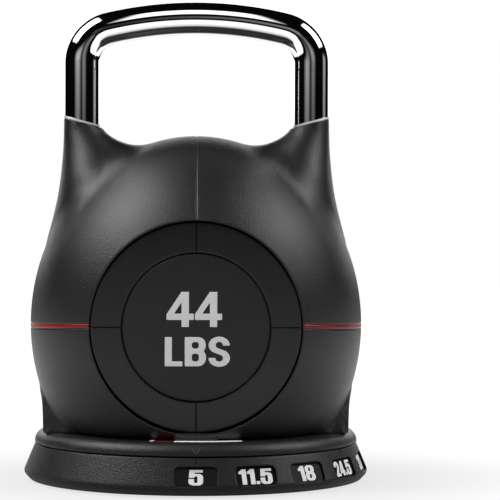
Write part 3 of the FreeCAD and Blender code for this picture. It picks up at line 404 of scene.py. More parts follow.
def egg(points):
    """Distance from the round body."""
    high = points[:, 2] > EQUATOR
    radii = np.full(points.shape, BODY_RADIUS)
    radii[:, 2] = np.where(high, CROWN_RISE, BELLY_DROP)
    offset = (points - (0, 0, EQUATOR)) / radii
    length = np.linalg.norm(offset, axis=1)
    slope = np.linalg.norm(offset / radii, axis=1)
    return length * (length - 1) / np.maximum(slope, 1e-9)


def smooth_table(rows, column):
    """One column of a table of heights, read every millimetre and smoothed."""
    rows = np.array(rows)
    heights = np.arange(rows[0, 0], rows[-1, 0] + 1)
    values = np.interp(heights, rows[:, 0], rows[:, column])
    weights = np.hanning(13)
    padded = np.pad(values, 6, mode="edge")
    return heights, np.convolve(padded, weights / weights.sum(), "valid")


FLARE_INNER = smooth_table(FLARE, 1)
FLARE_OUTER = smooth_table(FLARE, 2)
FLARE_DEPTH = smooth_table(FLARE, 3)


def flare(points):
    """Distance from the flare round the right leg, and the blend width there."""
    inner = np.interp(points[:, 2], *FLARE_INNER)
    outer = np.interp(points[:, 2], *FLARE_OUTER)
    depth = np.interp(points[:, 2], *FLARE_DEPTH)
    half = 0.5 * (outer - inner)
    across = points[:, 0] - 0.5 * (inner + outer)
    share = np.hypot(across / half, points[:, 1] / depth)
    steepness = np.hypot(across / half ** 2, points[:, 1] / depth ** 2)
    distance = share * (share - 1) / np.maximum(steepness, 1e-6)
    bearing = np.degrees(np.arctan2(np.abs(points[:, 1]) / depth, across / half))
    past_side = np.clip((bearing - BLEND_SIDE_FROM) / BLEND_SPREAD, 0, 1)
    past_back = np.clip((bearing - BLEND_BACK_FROM) / BLEND_SPREAD, 0, 1)
    return distance, BLEND_OUTER + BLEND_SIDE * past_side + BLEND_BACK * past_back


def ear(points):
    """Distance from the straight-sided ear over a post."""
    rise = np.clip((points[:, 2] - SHELL_BOTTOM) / EAR_RISE, 0, 1.15)
    face = points[:, 0] - (EAR_FACE + EAR_LEAN * rise)
    cheek = (np.abs(points[:, 1]) - (EAR_HALF_WIDTH - EAR_NARROWING * rise)) * 0.75
    side = meet(face, cheek, 4.0)
    return meet(meet(side, points[:, 2] - EAR_TOP, 4.0), EAR_INNER - points[:, 0], 0.5)


def outside(points):
    """Distance from the right half of the shell's outer form."""
    reach = np.hypot(points[:, 0], points[:, 1])
    lip = (reach - LIP_RADIUS - LIP_SLOPE * (points[:, 2] - SHELL_BOTTOM)) / math.hypot(1, LIP_SLOPE)
    form = meet(egg(points), lip, 2.0)
    distance, width = flare(points)
    form = union(form, distance, width)
    return union(form, ear(points), 5.0)


def cube_sphere(count):
    """Evenly spread directions as points and triangles."""
    ticks = np.tan(np.linspace(-math.pi / 4, math.pi / 4, count + 1))
    u, v = np.meshgrid(ticks, ticks, indexing="ij")
    one = np.ones_like(u)
    sides = [(one, u, v), (-one, v, u), (v, one, u), (u, -one, v), (u, v, one), (v, u, -one)]
    points = np.vstack([np.stack([axis.ravel() for axis in side], 1) for side in sides])
    points /= np.linalg.norm(points, axis=1)[:, None]
    index = np.arange((count + 1) ** 2).reshape(count + 1, count + 1)
    a, b = index[:-1, :-1].ravel(), index[1:, :-1].ravel()
    c, d = index[1:, 1:].ravel(), index[:-1, 1:].ravel()
    square = np.vstack([np.stack([a, b, c], 1), np.stack([a, c, d], 1)])
    triangles = np.vstack([square + number * (count + 1) ** 2 for number in range(6)])
    return weld(points, triangles)


def shell_surface(count):
    """The outer form of the right half, found by halving along rays from a centre below its leg."""
    centre = np.array([74.0, 0.0, 120.0])
    halvings = 34
    directions, triangles = cube_sphere(count)
    near = np.full(len(directions), 2.0)
    far = np.full(len(directions), 260.0)
    for _ in range(halvings):
        middle = 0.5 * (near + far)
        inside = outside(centre + directions * middle[:, None]) < 0
        near = np.where(inside, middle, near)
        far = np.where(inside, far, middle)
    return centre + directions * near[:, None], triangles


def band_bow(points):
    """How much higher the band runs near the faces than at the sides."""
    return BAND_BOW * (points[:, 1] / FACE_SEAT) ** 2


def shell_cuts():
    """Levels that divide the shell's right half, each above zero on the side that is kept."""
    tilt = math.radians(COLLAR_TILT)

    def collar(p):
        below = (COLLAR_HEIGHT - p[:, 2]) * math.cos(tilt) + (p[:, 0] - LEG_REACH) * math.sin(tilt)
        return np.maximum(below, COLLAR_INNER - p[:, 0])

    return {
        "seam": lambda p: p[:, 0].copy(),
        "opening": lambda p: np.hypot(p[:, 0], p[:, 2] - FACE_HEIGHT) - FACE_OPENING,
        "collar": collar,
        "bottom": lambda p: p[:, 2] - SKIN_BOTTOM,
        "over_band": lambda p: p[:, 2] - band_bow(p) - BAND_HIGH,
        "under_band": lambda p: BAND_LOW - p[:, 2] + band_bow(p),
        "band_floor": lambda p: p[:, 2] - band_bow(p) - BAND_LOW,
        "band_roof": lambda p: BAND_HIGH - p[:, 2] + band_bow(p),
    }


def make_shells():
    """Four shell quarters and two half bands: the right ones, and their mirror images on the left."""
    points, triangles = shell_surface(SPHERE_COUNT)
    cuts = shell_cuts()
    parts = (
        ("shell_upper", "shell_black", SHELL_THICKNESS, ("seam", "over_band", "opening", "collar")),
        ("shell_lower", "shell_black", SHELL_THICKNESS, ("seam", "under_band", "opening", "bottom")),
        ("band", "band_red", BAND_THICKNESS, ("seam", "opening", "band_floor", "band_roof")),
    )
    for label, slot, thickness, used in parts:
        part_points, part_triangles = cut_out(points, triangles, [cuts[name] for name in used])
        for side, sign in (("right", 1), ("left", -1)):
            placed = part_points * (sign, 1, 1)
            faces = part_triangles if sign > 0 else part_triangles[:, ::-1]
            node = f"{label}_{side}"
            piece = add_piece(node + "_skin", placed, faces, "kettlebell", slot, replaced=[node])
            solidify(piece, thickness)


# ---- handle ----

def handle_path():
    """Points of the handle's centre line, left to right, and which way is out at each."""
    corner_x = LEG_REACH - CORNER_RADIUS
    bow_centre = GRIP_TOP - GRIP_BOW
    corner_z = bow_centre + math.sqrt((GRIP_BOW - CORNER_RADIUS) ** 2 - corner_x ** 2)
    joint = math.atan2(corner_z - bow_centre, corner_x)
    half = [(LEG_REACH, z, 0.0) for z in np.linspace(LEG_BOTTOM, corner_z, 12)[:-1]]
    for angle in np.linspace(0, joint, 25)[:-1]:
        x = corner_x + CORNER_RADIUS * math.cos(angle)
        half.append((x, corner_z + CORNER_RADIUS * math.sin(angle), angle))
    for angle in np.linspace(joint, math.pi / 2, 17):
        half.append((GRIP_BOW * math.cos(angle), bow_centre + GRIP_BOW * math.sin(angle), angle))
    mirrored = [(-x, z, math.pi - angle) for x, z, angle in half[:-1]]
    return half + mirrored[::-1]


def make_handle():
    """Chrome tube, closed at both ends."""
    path = handle_path()
    around = np.arange(TUBE_SIDES) * 2 * math.pi / TUBE_SIDES
    rings = []
    for x, z, angle in path:
        out = np.array([math.cos(angle), 0, math.sin(angle)])
        offset = np.cos(around)[:, None] * out + np.sin(around)[:, None] * np.array([0, 1, 0])
        bend = min(1.0, 1.3 * math.sin(angle)) ** 2
        radius = HANDLE_RADIUS + (GRIP_RADIUS - HANDLE_RADIUS) * bend
        rings.append(np.array([x, 0, z]) + radius * offset)
    points, faces = closed_tube(rings)
    piece = add_piece("handle_chrome", points, faces, "kettlebell", "chrome_handle", replaced=["handle_tube"])
    sharpen(piece, 60)


# ---- ring and badge of each face ----

def to_face(points, side):
    """Move something turned about Z to the front face, or to the rear one."""
    x, y, height = points.T
    if side == "front":
        return np.stack([x, -height, FACE_HEIGHT + y], 1)
    return np.stack([-x, height, FACE_HEIGHT + y], 1)


def dome(reach):
    """How far the badge's face stands out at a reach from its centre."""
    return BADGE_FACE - BADGE_DOME * (reach / BADGE_SHOULDER) ** BADGE_POWER


def groove_ring(points, triangles):
    """Four thin grooves across the ring's face, at the top, the bottom and both sides."""
    for axis in (0, 1):
        for width in (GROOVE_HALF, 0.4 * GROOVE_HALF):
            for sign in (1, -1):
                points, triangles = split(points, triangles, lambda p: sign * p[:, axis] - width)
    near = np.minimum(np.abs(points[:, 0]), np.abs(points[:, 1]))
    raised = points[:, 2] > RING_EDGE_FACE - 2.0
    points[:, 2] -= np.where(raised, GROOVE_DEPTH * np.clip(1.4 * (1 - near / GROOVE_HALF), 0, 1), 0)
    return points, triangles


def make_faces():
    """Ring and domed badge, in the front and in the rear."""
    ledge = FACE_SEAT - RING_LEDGE_DROP
    back = ledge - RING_LEDGE_THICKNESS
    skirt = RING_RADIUS + RING_SKIRT
    ring = soften([
        (RING_INNER - RING_LAP, back, 0),
        (skirt, back, 0),
        (skirt, back + SKIRT_EDGE, 0),
        (RING_RADIUS, RING_EDGE_FACE - 2.5, 0),
        (RING_RADIUS, RING_EDGE_FACE, 0.9),
        (RING_INNER, RING_INNER_FACE, 0.6),
        (RING_INNER, ledge, 0),
        (RING_INNER - RING_LAP, ledge, 0),
    ])
    ring_points, ring_triangles = groove_ring(*turned(refine(ring, 2.5), ROUND_COUNT))
    across = np.linspace(0, BADGE_SHOULDER, 40)[:-1]
    face = [(reach, dome(reach)) for reach in across]
    shoulder = BADGE_FACE - BADGE_DOME
    rim = soften([(0, FACE_SEAT, 0), (BADGE_RADIUS, FACE_SEAT, 0), (BADGE_RADIUS, shoulder, 1.1)])
    badge = np.vstack([rim, [(BADGE_SHOULDER, shoulder)], np.array(face)[::-1]])
    badge_points, badge_triangles = turned(badge, ROUND_COUNT)
    for side in ("front", "rear"):
        for label, slot, points, triangles in (
            ("face_ring", "ring_black", ring_points, ring_triangles),
            ("badge", "badge_black", badge_points, badge_triangles),
        ):
            placed = to_face(points, side)
            placed[:, 2] = np.maximum(placed[:, 2], SKIN_BOTTOM + SKIRT_CLEARANCE)
            faces = facing_out(placed, triangles)
            node = f"{label}_{side}"
            piece = add_piece(node + "_moulded", placed, faces, "kettlebell", slot, replaced=[node])
            sharpen(piece, 40)


# ---- lettering: each glyph is the area where its depth is above zero ----

def bar(x, z, left, right, low, high, radius=0.0):
    """Depth inside a rectangle with rounded corners."""
    over_x = np.abs(x - 0.5 * (left + right)) - (0.5 * (right - left) - radius)
    over_z = np.abs(z - 0.5 * (low + high)) - (0.5 * (high - low) - radius)
    outer = np.hypot(np.maximum(over_x, 0), np.maximum(over_z, 0))
    return radius - outer - np.minimum(np.maximum(over_x, over_z), 0)


def slope(x, z, first, second):
    """Depth on the left of a line that runs through two points."""
    run, rise = second[0] - first[0], second[1] - first[1]
    return (run * (z - first[1]) - rise * (x - first[0])) / math.hypot(run, rise)


def stroke(x, z, path, half_width, squeeze):
    """Depth inside a stroke along a path. Squeeze makes its upright runs wider than its level ones."""
    nearest = np.full(x.shape, np.inf)
    for (ax, az), (bx, bz) in zip(path, path[1:]):
        run, rise = (bx - ax) * squeeze, bz - az
        across, up = (x - ax) * squeeze, z - az
        share = np.clip((across * run + up * rise) / (run * run + rise * rise), 0, 1)
        nearest = np.minimum(nearest, np.hypot(across - share * run, up - share * rise))
    return half_width - nearest


def arc(centre, reach, rise, first, last, count=16):
    """Points along part of an ellipse, between two angles in degrees."""
    angles = np.radians(np.linspace(first, last, count))
    return [(centre[0] + reach * math.cos(a), centre[1] + rise * math.sin(a)) for a in angles]


def any_of(*depths):
    """Depth inside any of some areas."""
    return np.maximum.reduce(depths)


def all_of(*depths):
    """Depth inside all of some areas."""
    return np.minimum.reduce(depths)


def big_four(x, z):
    """Wide 4 of the badge, 18.6 by 24."""
    stem = bar(x, z, 10.3, 15.3, 0, 24)
    level = bar(x, z, 0.4, 18.6, 4.8, 9.1)
    outer = slope(x, z, (10.2, 24.0), (0.0, 8.7))
    inner = slope(x, z, (5.1, 9.1), (10.3, 16.9))
    slant = all_of(outer, inner, bar(x, z, 0, 12, 5, 24))
    return any_of(stem, level, slant)


def big_l(x, z):
    """L of the badge."""
    return any_of(bar(x, z, 0, 4.8, 0, 20), bar(x, z, 0, 12, 0, 3.3))


def big_b(x, z):
    """B of the badge."""
    upper = bar(x, z, -8, 14.3, 8.9, 20, 5.2)
    lower = bar(x, z, -8, 14.5, 0, 12, 5.6)
    upper_hole = bar(x, z, 4.8, 9.6, 12.1, 16.7, 1.9)
    lower_hole = bar(x, z, 4.8, 9.7, 3.3, 8.7, 1.9)
    return all_of(any_of(upper, lower), x, -upper_hole, -lower_hole)


def big_s(x, z):
    """S of the badge."""
    path = arc((7.4, 14.5), 4.9, 4.1, -5, 232) + arc((7.4, 5.6), 5.0, 4.2, 52, -178)
    body = stroke(x, z, path, 1.75, 0.74)
    right_end = bar(x, z, 9.0, 16.0, 11.4, 14.2)
    left_end = bar(x, z, -2.0, 5.4, 5.8, 8.4)
    return all_of(body, -right_end, -left_end)


def one(x, z):
    """Heavy 1, 4.4 wide like the other dial digits 10.8 high."""
    flag = all_of(bar(x, z, 0, 4.4, 7.4, 10.8), slope(x, z, (4.4, 11.9), (0, 9.0)))
    return any_of(bar(x, z, 1.7, 4.4, 0, 10.8), flag)


def two(x, z):
    """Heavy 2."""
    path = arc((3.5, 7.9), 2.25, 1.95, 180, -20) + [(4.9, 5.6), (2.1, 1.9)]
    body = stroke(x, z, path, 1.05, 0.78)
    return any_of(all_of(body, z, -bar(x, z, -1, 3.2, 5.0, 6.9)), bar(x, z, 0.2, 7, 0, 2.1))


def three(x, z):
    """Heavy 3."""
    upper = all_of(bar(x, z, 0, 6.9, 4.9, 10.9, 2.4), -bar(x, z, 2.6, 4.3, 6.4, 9.3, 0.8))
    lower = all_of(bar(x, z, 0, 7, -0.1, 6.0, 2.5), -bar(x, z, 2.6, 4.4, 1.7, 4.6, 0.8))
    return all_of(any_of(upper, lower), -bar(x, z, -1, 2.9, 3.7, 7.3))


def four(x, z):
    """Heavy 4."""
    stem = bar(x, z, 3.2, 5.9, 0, 10.8)
    level = bar(x, z, 0, 7, 1.9, 3.9)
    outer = slope(x, z, (3.2, 10.8), (0, 3.9))
    inner = slope(x, z, (2.0, 3.9), (4.2, 9.3))
    return any_of(stem, level, all_of(outer, inner, bar(x, z, 0, 5.9, 2.2, 10.8)))


def five(x, z):
    """Heavy 5."""
    level = bar(x, z, 0.5, 6.8, 9.0, 10.8)
    stem = all_of(bar(x, z, 0, 2.9, 5.3, 10.8), slope(x, z, (0.5, 10.8), (0.1, 5.3)))
    bowl = all_of(bar(x, z, 0, 7, -0.1, 8.0, 2.4), -bar(x, z, 2.7, 4.3, 1.5, 6.4, 0.8))
    clear = any_of(bar(x, z, -1, 3.6, 4.4, 5.3), bar(x, z, -1, 2.9, 5.3, 9.0))
    return any_of(level, stem, all_of(bowl, -clear))


def seven(x, z):
    """Heavy 7."""
    right = -slope(x, z, (6.6, 8.8), (1.4, -2.6))
    left = slope(x, z, (3.9, 8.8), (1.1, 0))
    return any_of(bar(x, z, 0, 6.6, 8.7, 10.8), all_of(right, left, bar(x, z, 0, 7, 0, 9.2), z))


def eight(x, z):
    """Heavy 8."""
    upper = all_of(bar(x, z, 0.2, 6.8, 5.0, 10.9, 2.5), -bar(x, z, 2.75, 4.25, 6.6, 9.4, 0.7))
    lower = all_of(bar(x, z, 0, 7, -0.1, 6.2, 2.6), -bar(x, z, 2.65, 4.35, 1.5, 4.6, 0.8))
    return any_of(upper, lower)


def point(x, z):
    """Decimal point."""
    return bar(x, z, 0, 2.1, 0, 2.1)


DIGITS = {
    "1": (one, 4.4), "2": (two, 7.0), "3": (three, 7.0), "4": (four, 7.0), "5": (five, 7.0),
    "7": (seven, 6.6), "8": (eight, 7.0), ".": (point, 2.1),
}
# Numbers on the dial, each with how far its glyphs are stretched sideways.
DIAL_NUMBERS = (
    ("5", 1.42), ("11.5", 1.24), ("18", 1.22), ("24.5", 0.94), ("31", 1.22), ("37.5", 0.94), ("44", 1.22),
)
BADGE_LETTERS = {"4": (big_four, 18.6), "L": (big_l, 12.0), "B": (big_b, 14.5), "S": (big_s, 14.8)}


def flat_grid(columns, rows, step, left, down):
    """Flat triangles of a square grid that starts a little to the left of zero and below it."""
    u, v = np.meshgrid(np.arange(columns) * step - left, np.arange(rows) * step - down, indexing="ij")
    return np.stack([u.ravel(), v.ravel(), np.zeros(u.size)], 1), lattice(columns, rows, False, False)


def lettering(text, glyphs, gap, stretch, step):
    """Flat triangles of a line of text: centred across, on a base line, with z up."""
    parts = []
    cursor = 0.0
    for letter in text:
        glyph, width = glyphs[letter]
        columns = math.ceil((width + 1) / step)
        rows = math.ceil(26 / step) if width > 10 else math.ceil(12.5 / step)
        points, triangles = flat_grid(columns + 1, rows + 1, step, 0.5, 0.7)
        points, triangles = clip(points, triangles, lambda p: glyph(p[:, 0], p[:, 1]))
        points[:, 0] = (points[:, 0] + cursor) * stretch
        parts.append((points, triangles))
        cursor += width + gap
    half = 0.5 * (cursor - gap) * stretch
    total = 0
    faces = []
    for points, triangles in parts:
        points[:, 0] -= half
        faces.append(triangles + total)
        total += len(points)
    return np.vstack([points for points, _ in parts]), np.vstack(faces)


def make_badge_text():
    """Weight marking on the front badge, in two lines."""
    top, top_faces = lettering("44", BADGE_LETTERS, 0.8, 1.0, BADGE_PRINT_STEP)
    low, low_faces = lettering("LBS", BADGE_LETTERS, 1.7, 1.0, BADGE_PRINT_STEP)
    top[:, :2] += (-1.3, 0.6)
    low[:, :2] += (0.9, -26.4)
    points = np.vstack([top, low])
    points[:, 2] = dome(np.hypot(points[:, 0], points[:, 1])) + PRINT_PROUD
    faces = np.vstack([top_faces, low_faces + len(top)])
    piece = add_piece("badge_marking", to_face(points, "front"), faces, "kettlebell", "label_white")
    solidify(piece, PRINT_THICKNESS)


# ---- dial ring of the base ----

LEAN = math.atan2(BASE_RADIUS - RING_TOP_RADIUS, RING_TOP - BASE_WIDEST)
WINDOW_REACH = BASE_RADIUS - math.tan(LEAN) * (WINDOW_HEIGHT - BASE_WIDEST)


def window_frame(number):
    """Centre, sideways, upwards and outwards directions of one window."""
    bearing = math.radians(-90 + WINDOW_STEP * number)
    out = np.array([math.cos(bearing), math.sin(bearing), 0])
    sideways = np.array([-math.sin(bearing), math.cos(bearing), 0])
    centre = out * WINDOW_REACH + (0, 0, WINDOW_HEIGHT)
    upwards = -out * math.sin(LEAN) + np.array([0, 0, math.cos(LEAN)])
    outwards = out * math.cos(LEAN) + np.array([0, 0, math.sin(LEAN)])
    return centre, sideways, upwards, outwards


def in_window(points, number):
    """Sideways, upwards and outwards distances of points from a window's centre."""
    centre, *directions = window_frame(number)
    return [(points - centre) @ direction for direction in directions]


def window_outline(u, v):
    """Depth inside the rounded outline of a window."""
    wide, high = WINDOW_HALF_WIDTH, WINDOW_HALF_HEIGHT
    return bar(u, v, -wide, wide, -high, high, WINDOW_CORNER)


def window_depth(points, number):
    """Depth of points inside a window's outline, on the ring's sloped face only."""
    u, v, w = in_window(points, number)
    return np.minimum(window_outline(u, v), w + WINDOW_REGION)


def tick_depth(points, number):
    """Depth of points inside the line engraved above a window."""
    u, v, w = in_window(points, number)
    return all_of(TICK_HALF - np.abs(u), v - WINDOW_HALF_HEIGHT - TICK_GAP, w + WINDOW_REGION)


def sink_window(points, triangles, number):
    """Push one window's floor back, with walls round it and a line above it."""
    for level in (-WINDOW_EDGE, 0.0):
        points, triangles = split(points, triangles, lambda p: window_depth(p, number) - level)
    points, triangles = split(points, triangles, lambda p: tick_depth(p, number))
    points, triangles = split(points, triangles, lambda p: tick_depth(p, number) - 0.5 * TICK_HALF)
    outwards = window_frame(number)[3]
    depth = window_depth(points, number)
    depth[np.abs(depth) < 1e-3] = 0
    inside = depth[triangles].sum(1) > 0
    floor = triangles[inside]
    turned_edges = np.vstack([floor[:, [0, 1]], floor[:, [1, 2]], floor[:, [2, 0]]])
    known = {tuple(edge) for edge in turned_edges.tolist()}
    border = np.array([edge for edge in turned_edges.tolist() if (edge[1], edge[0]) not in known])
    used, floor = np.unique(floor, return_inverse=True)
    floor = floor.reshape(-1, 3) + len(points)
    copy = {old: new for new, old in enumerate(used.tolist(), start=len(points))}
    lower = np.array([(copy[a], copy[b]) for a, b in border.tolist()])
    walls = np.vstack([
        np.stack([border[:, 0], border[:, 1], lower[:, 1]], 1),
        np.stack([border[:, 0], lower[:, 1], lower[:, 0]], 1),
    ])
    heights = in_window(points[used], number)[2]
    sunk = points[used] - (heights + WINDOW_DEPTH)[:, None] * outwards
    rim = np.clip(1 + depth / WINDOW_EDGE, 0, 1) ** 2 * (depth <= 0)
    line = np.clip(tick_depth(points, number) / (0.5 * TICK_HALF), 0, 1)
    points = points - (rim * 0.3 + line * TICK_DEPTH)[:, None] * outwards
    return np.vstack([points, sunk]), np.vstack([triangles[~inside], walls, floor])


def make_number_ring():
    """Sloped dial ring with rounded edges and sunk windows, whose floors and walls take a darker plastic as
    painted shade.
    """
    wall = span("base_pan", 0)[1]
    outline = soften([
        (wall, RING_UNDERSIDE, 0),
        (RING_FOOT, RING_UNDERSIDE, 0.8),
        (BASE_RADIUS, BASE_WIDEST, 2.4),
        (RING_TOP_RADIUS, RING_TOP, 0.8),
        (RING_MOUTH, RING_TOP, 0.3),
        (RING_MOUTH, RING_SHELF, 0),
        (RING_SHELF_REACH, RING_SHELF, 0),
        (RING_INSIDE, BASE_WIDEST, 0),
        (wall, RING_SEAT, 0),
    ])
    points, triangles = turned(refine(outline, 1.2), 480)
    for number in range(WINDOW_COUNT):
        points, triangles = sink_window(points, triangles, number)
    faces = facing_out(points, triangles)
    piece = add_piece("number_ring_moulded", points, faces, "base", "base_black", replaced=["number_ring"])
    sharpen(piece, 40)
    # Second, darker and less shiny plastic for the window floors and walls: painted shade for the sunk
    # windows.
    piece.data.materials.append(MATERIALS["window_painted_shade"])
    middles = points[triangles].mean(1)
    sunk = np.zeros(len(triangles), int)
    for number in range(WINDOW_COUNT):
        u, v, w = in_window(middles, number)
        sunk |= ((window_outline(u, v) > -0.03) & (np.abs(w) < WINDOW_REGION)).astype(int)
    piece.data.polygons.foreach_set("material_index", sunk)


def make_dial_numbers():
    """Weight numbers on the floors of the windows, in pounds."""
    for number, (text, stretch) in enumerate(DIAL_NUMBERS):
        flat, faces = lettering(text, DIGITS, DIGIT_GAP, stretch, DIAL_PRINT_STEP)
        centre, sideways, upwards, outwards = window_frame(number)
        base = centre - outwards * (WINDOW_DEPTH - PRINT_PROUD)
        points = base + flat[:, :1] * sideways + (flat[:, 1:2] - DIGIT_MIDDLE) * upwards
        piece = add_piece(f"dial_number_{number + 1}", points, faces, "base", "label_white")
        solidify(piece, PRINT_THICKNESS)


def make_mark():
    """Small light grey V on the front of the cover's rounded rim, which points at the number below it; its
    grey is a painted highlight standing in for the light an engraved V catches.
    """
    outer = span("turntable_cover", 0)[1]
    path = [(-2.9, 5.2), (0.0, 1.0), (2.9, 5.2)]
    grid, triangles = flat_grid(51, 40, MARK_STEP, 4.0, 0.4)
    flat, faces = clip(grid, triangles, lambda p: stroke(p[:, 0], p[:, 1], path, MARK_HALF_WIDTH, 1.0))
    bend = np.clip(flat[:, 1], 0, None) / COVER_ROUND
    reach = outer - COVER_ROUND + (COVER_ROUND + MARK_PROUD) * np.cos(bend)
    height = COVER_TOP - COVER_ROUND + (COVER_ROUND + MARK_PROUD) * np.sin(bend) + np.minimum(flat[:, 1], 0)
    bearing = flat[:, 0] / outer
    points = np.stack([reach * np.sin(bearing), -reach * np.cos(bearing), height], 1)
    piece = add_piece("turntable_mark", points, faces, "turntable", "label_white", MATERIALS["mark_grey"])
    solidify(piece, PRINT_THICKNESS)


def make_cover():
    """Round cover that turns with the kettlebell, its rim rounded over."""
    outer = span("turntable_cover", 0)[1]
    outline = soften([
        (COVER_HOLE, COVER_HOLE_FOOT, 0),
        (COVER_HOLE, COVER_HOLE_LEDGE, 0.3),
        (COVER_STEP, COVER_HOLE_LEDGE, 0),
        (COVER_STEP, COVER_TOP, 0.4),
        (outer, COVER_TOP, COVER_ROUND),
        (outer, COVER_UNDERSIDE, 0.4),
        (COVER_RIM_INNER, COVER_UNDERSIDE, 0),
        (COVER_RIM_INNER, COVER_CEILING, 0),
        (SKID_OUTER, COVER_CEILING, 0),
        (SKID_OUTER, SKID_BOTTOM, 0),
        (SKID_INNER, SKID_BOTTOM, 0),
        (SKID_INNER, COVER_CEILING, 0),
        (COVER_HUB, COVER_CEILING, 0),
        (COVER_HUB, COVER_HOLE_FOOT, 0),
    ], 10)
    points, triangles = turned(outline, 360)
    faces = facing_out(points, triangles)
    name = "turntable_cover"
    piece = add_piece(name + "_moulded", points, faces, "turntable", "base_black", replaced=[name])
    sharpen(piece, 40)


def strip_patch(first, last):
    """Flat part of the label strip between two bearings in degrees, rounded at the strip's ends."""
    rows, columns = 60, 9
    angles = np.radians(np.linspace(first, last, rows))
    reach = np.linspace(STRIP_INNER, STRIP_OUTER, columns)
    a, r = np.meshgrid(angles, reach, indexing="ij")
    past_end = np.clip((np.abs(a) - math.radians(17.2)) / math.radians(1.0), 0, 1)
    middle = 0.5 * (STRIP_INNER + STRIP_OUTER)
    r = middle + (r - middle) * (1 - 0.75 * past_end ** 2)
    height = np.full(a.shape, COVER_TOP + STRIP_PROUD)
    points = np.stack([(r * np.sin(a)).ravel(), (-r * np.cos(a)).ravel(), height.ravel()], 1)
    return points, lattice(rows, columns, False, False)[:, ::-1]


def make_strips():
    """Curved label on the cover's front: white, with a red part near its left end."""
    layout = (
        ("strip_red", "label_red", ((-16.5, -8.4),)),
        ("strip_white", "label_white", ((-18.2, -16.5), (-8.4, 18.2))),
    )
    for name, slot, stretches in layout:
        points = np.zeros((0, 3))
        faces = np.zeros((0, 3), int)
        for first, last in stretches:
            patch, triangles = strip_patch(first, last)
            faces = np.vstack([faces, triangles + len(points)])
            points = np.vstack([points, patch])
        piece = add_piece(name + "_film", points, faces, "turntable", slot, replaced=[name])
        solidify(piece, STRIP_THICKNESS)


def make_tab():
    """Small rounded tab under the front of the shell."""
    half = span("front_tab", 0)[1]
    back = span("front_tab", 1)[1]
    top = SKIN_BOTTOM + TAB_HEIGHT
    outline = soften([
        (-half, SKIN_BOTTOM, 0.6),
        (half, SKIN_BOTTOM, 0.6),
        (half, top, 2.4),
        (-half, top, 2.4),
    ])
    middle = np.array([0, SKIN_BOTTOM + 0.5 * TAB_HEIGHT])
    rings = []
    for depth, inset in ((back, 0.0), (TAB_FRONT + 0.8, 0.0), (TAB_FRONT + 0.3, 0.25), (TAB_FRONT, 0.8)):
        scale = np.array([1 - inset / half, 1 - inset / (0.5 * TAB_HEIGHT)])
        flat = middle + (outline - middle) * scale
        rings.append(np.stack([flat[:, 0], np.full(len(flat), depth), flat[:, 1]], 1))
    points, faces = closed_tube(rings)
    piece = add_piece("front_tab_moulded", points, faces, "kettlebell", "shell_black", replaced=["front_tab"])
    sharpen(piece, 50)


def round_blocks():
    """Take the sharpness off the plain machined blocks that show."""
    for name in ("post_left", "post_right"):
        edge = frame["nodes"][name].modifiers.new("rounded", "BEVEL")
        edge.width = 0.8 * MM
        edge.segments = 3
        edge.limit_method = "ANGLE"
        edge.angle_limit = math.radians(50)


# ---- materials ----

def new_material(name, colour, roughness, metallic=0.0, specular=0.5):
    """A principled material."""
    material = bpy.data.materials.new(name)
    material.use_nodes = True
    shader = shader_of(material)
    shader.inputs["Base Color"].default_value = (*colour, 1)
    shader.inputs["Roughness"].default_value = roughness
    shader.inputs["Metallic"].default_value = metallic
    shader.inputs["Specular IOR Level"].default_value = specular
    return material


def shader_of(material):
    """The principled shader of a material."""
    return material.node_tree.nodes["Principled BSDF"]


def grain(material, scale, depth, detail=2.0):
    """Fine bumps of a size, from noise in the piece's own coordinates."""
    nodes = material.node_tree.nodes
    links = material.node_tree.links
    place = nodes.new("ShaderNodeTexCoord")
    noise = nodes.new("ShaderNodeTexNoise")
    noise.inputs["Scale"].default_value = scale
    noise.inputs["Detail"].default_value = detail
    bump = nodes.new("ShaderNodeBump")
    bump.inputs["Strength"].default_value = 1.0
    bump.inputs["Distance"].default_value = depth
    links.new(place.outputs["Object"], noise.inputs["Vector"])
    links.new(noise.outputs["Fac"], bump.inputs["Height"])
    links.new(bump.outputs["Normal"], shader_of(material).inputs["Normal"])
    return noise


def vary(material, socket, noise, low, high):
    """Let the noise move one number of the shader between two values."""
    links = material.node_tree.links
    ranged = material.node_tree.nodes.new("ShaderNodeMapRange")
    ranged.inputs["To Min"].default_value = low
    ranged.inputs["To Max"].default_value = high
    links.new(noise.outputs["Fac"], ranged.inputs["Value"])
    links.new(ranged.outputs["Result"], shader_of(material).inputs[socket])


def plastic(name, shade, roughness, scale, depth, specular=0.5):
    """Moulded plastic with a fine grain, whose scale is in cells per metre and depth in metres."""
    material = new_material(name, (shade, shade, shade), roughness, specular=specular)
    noise = grain(material, scale, depth)
    vary(material, "Roughness", noise, roughness - 0.05, roughness + 0.05)
    return material


def metal(name, shade, roughness, scale, depth):
    """Metal with a faint texture."""
    material = new_material(name, (shade, shade, shade), roughness, metallic=1.0)
    noise = grain(material, scale, depth)
    vary(material, "Roughness", noise, roughness * 0.8, roughness * 1.2)
    return material


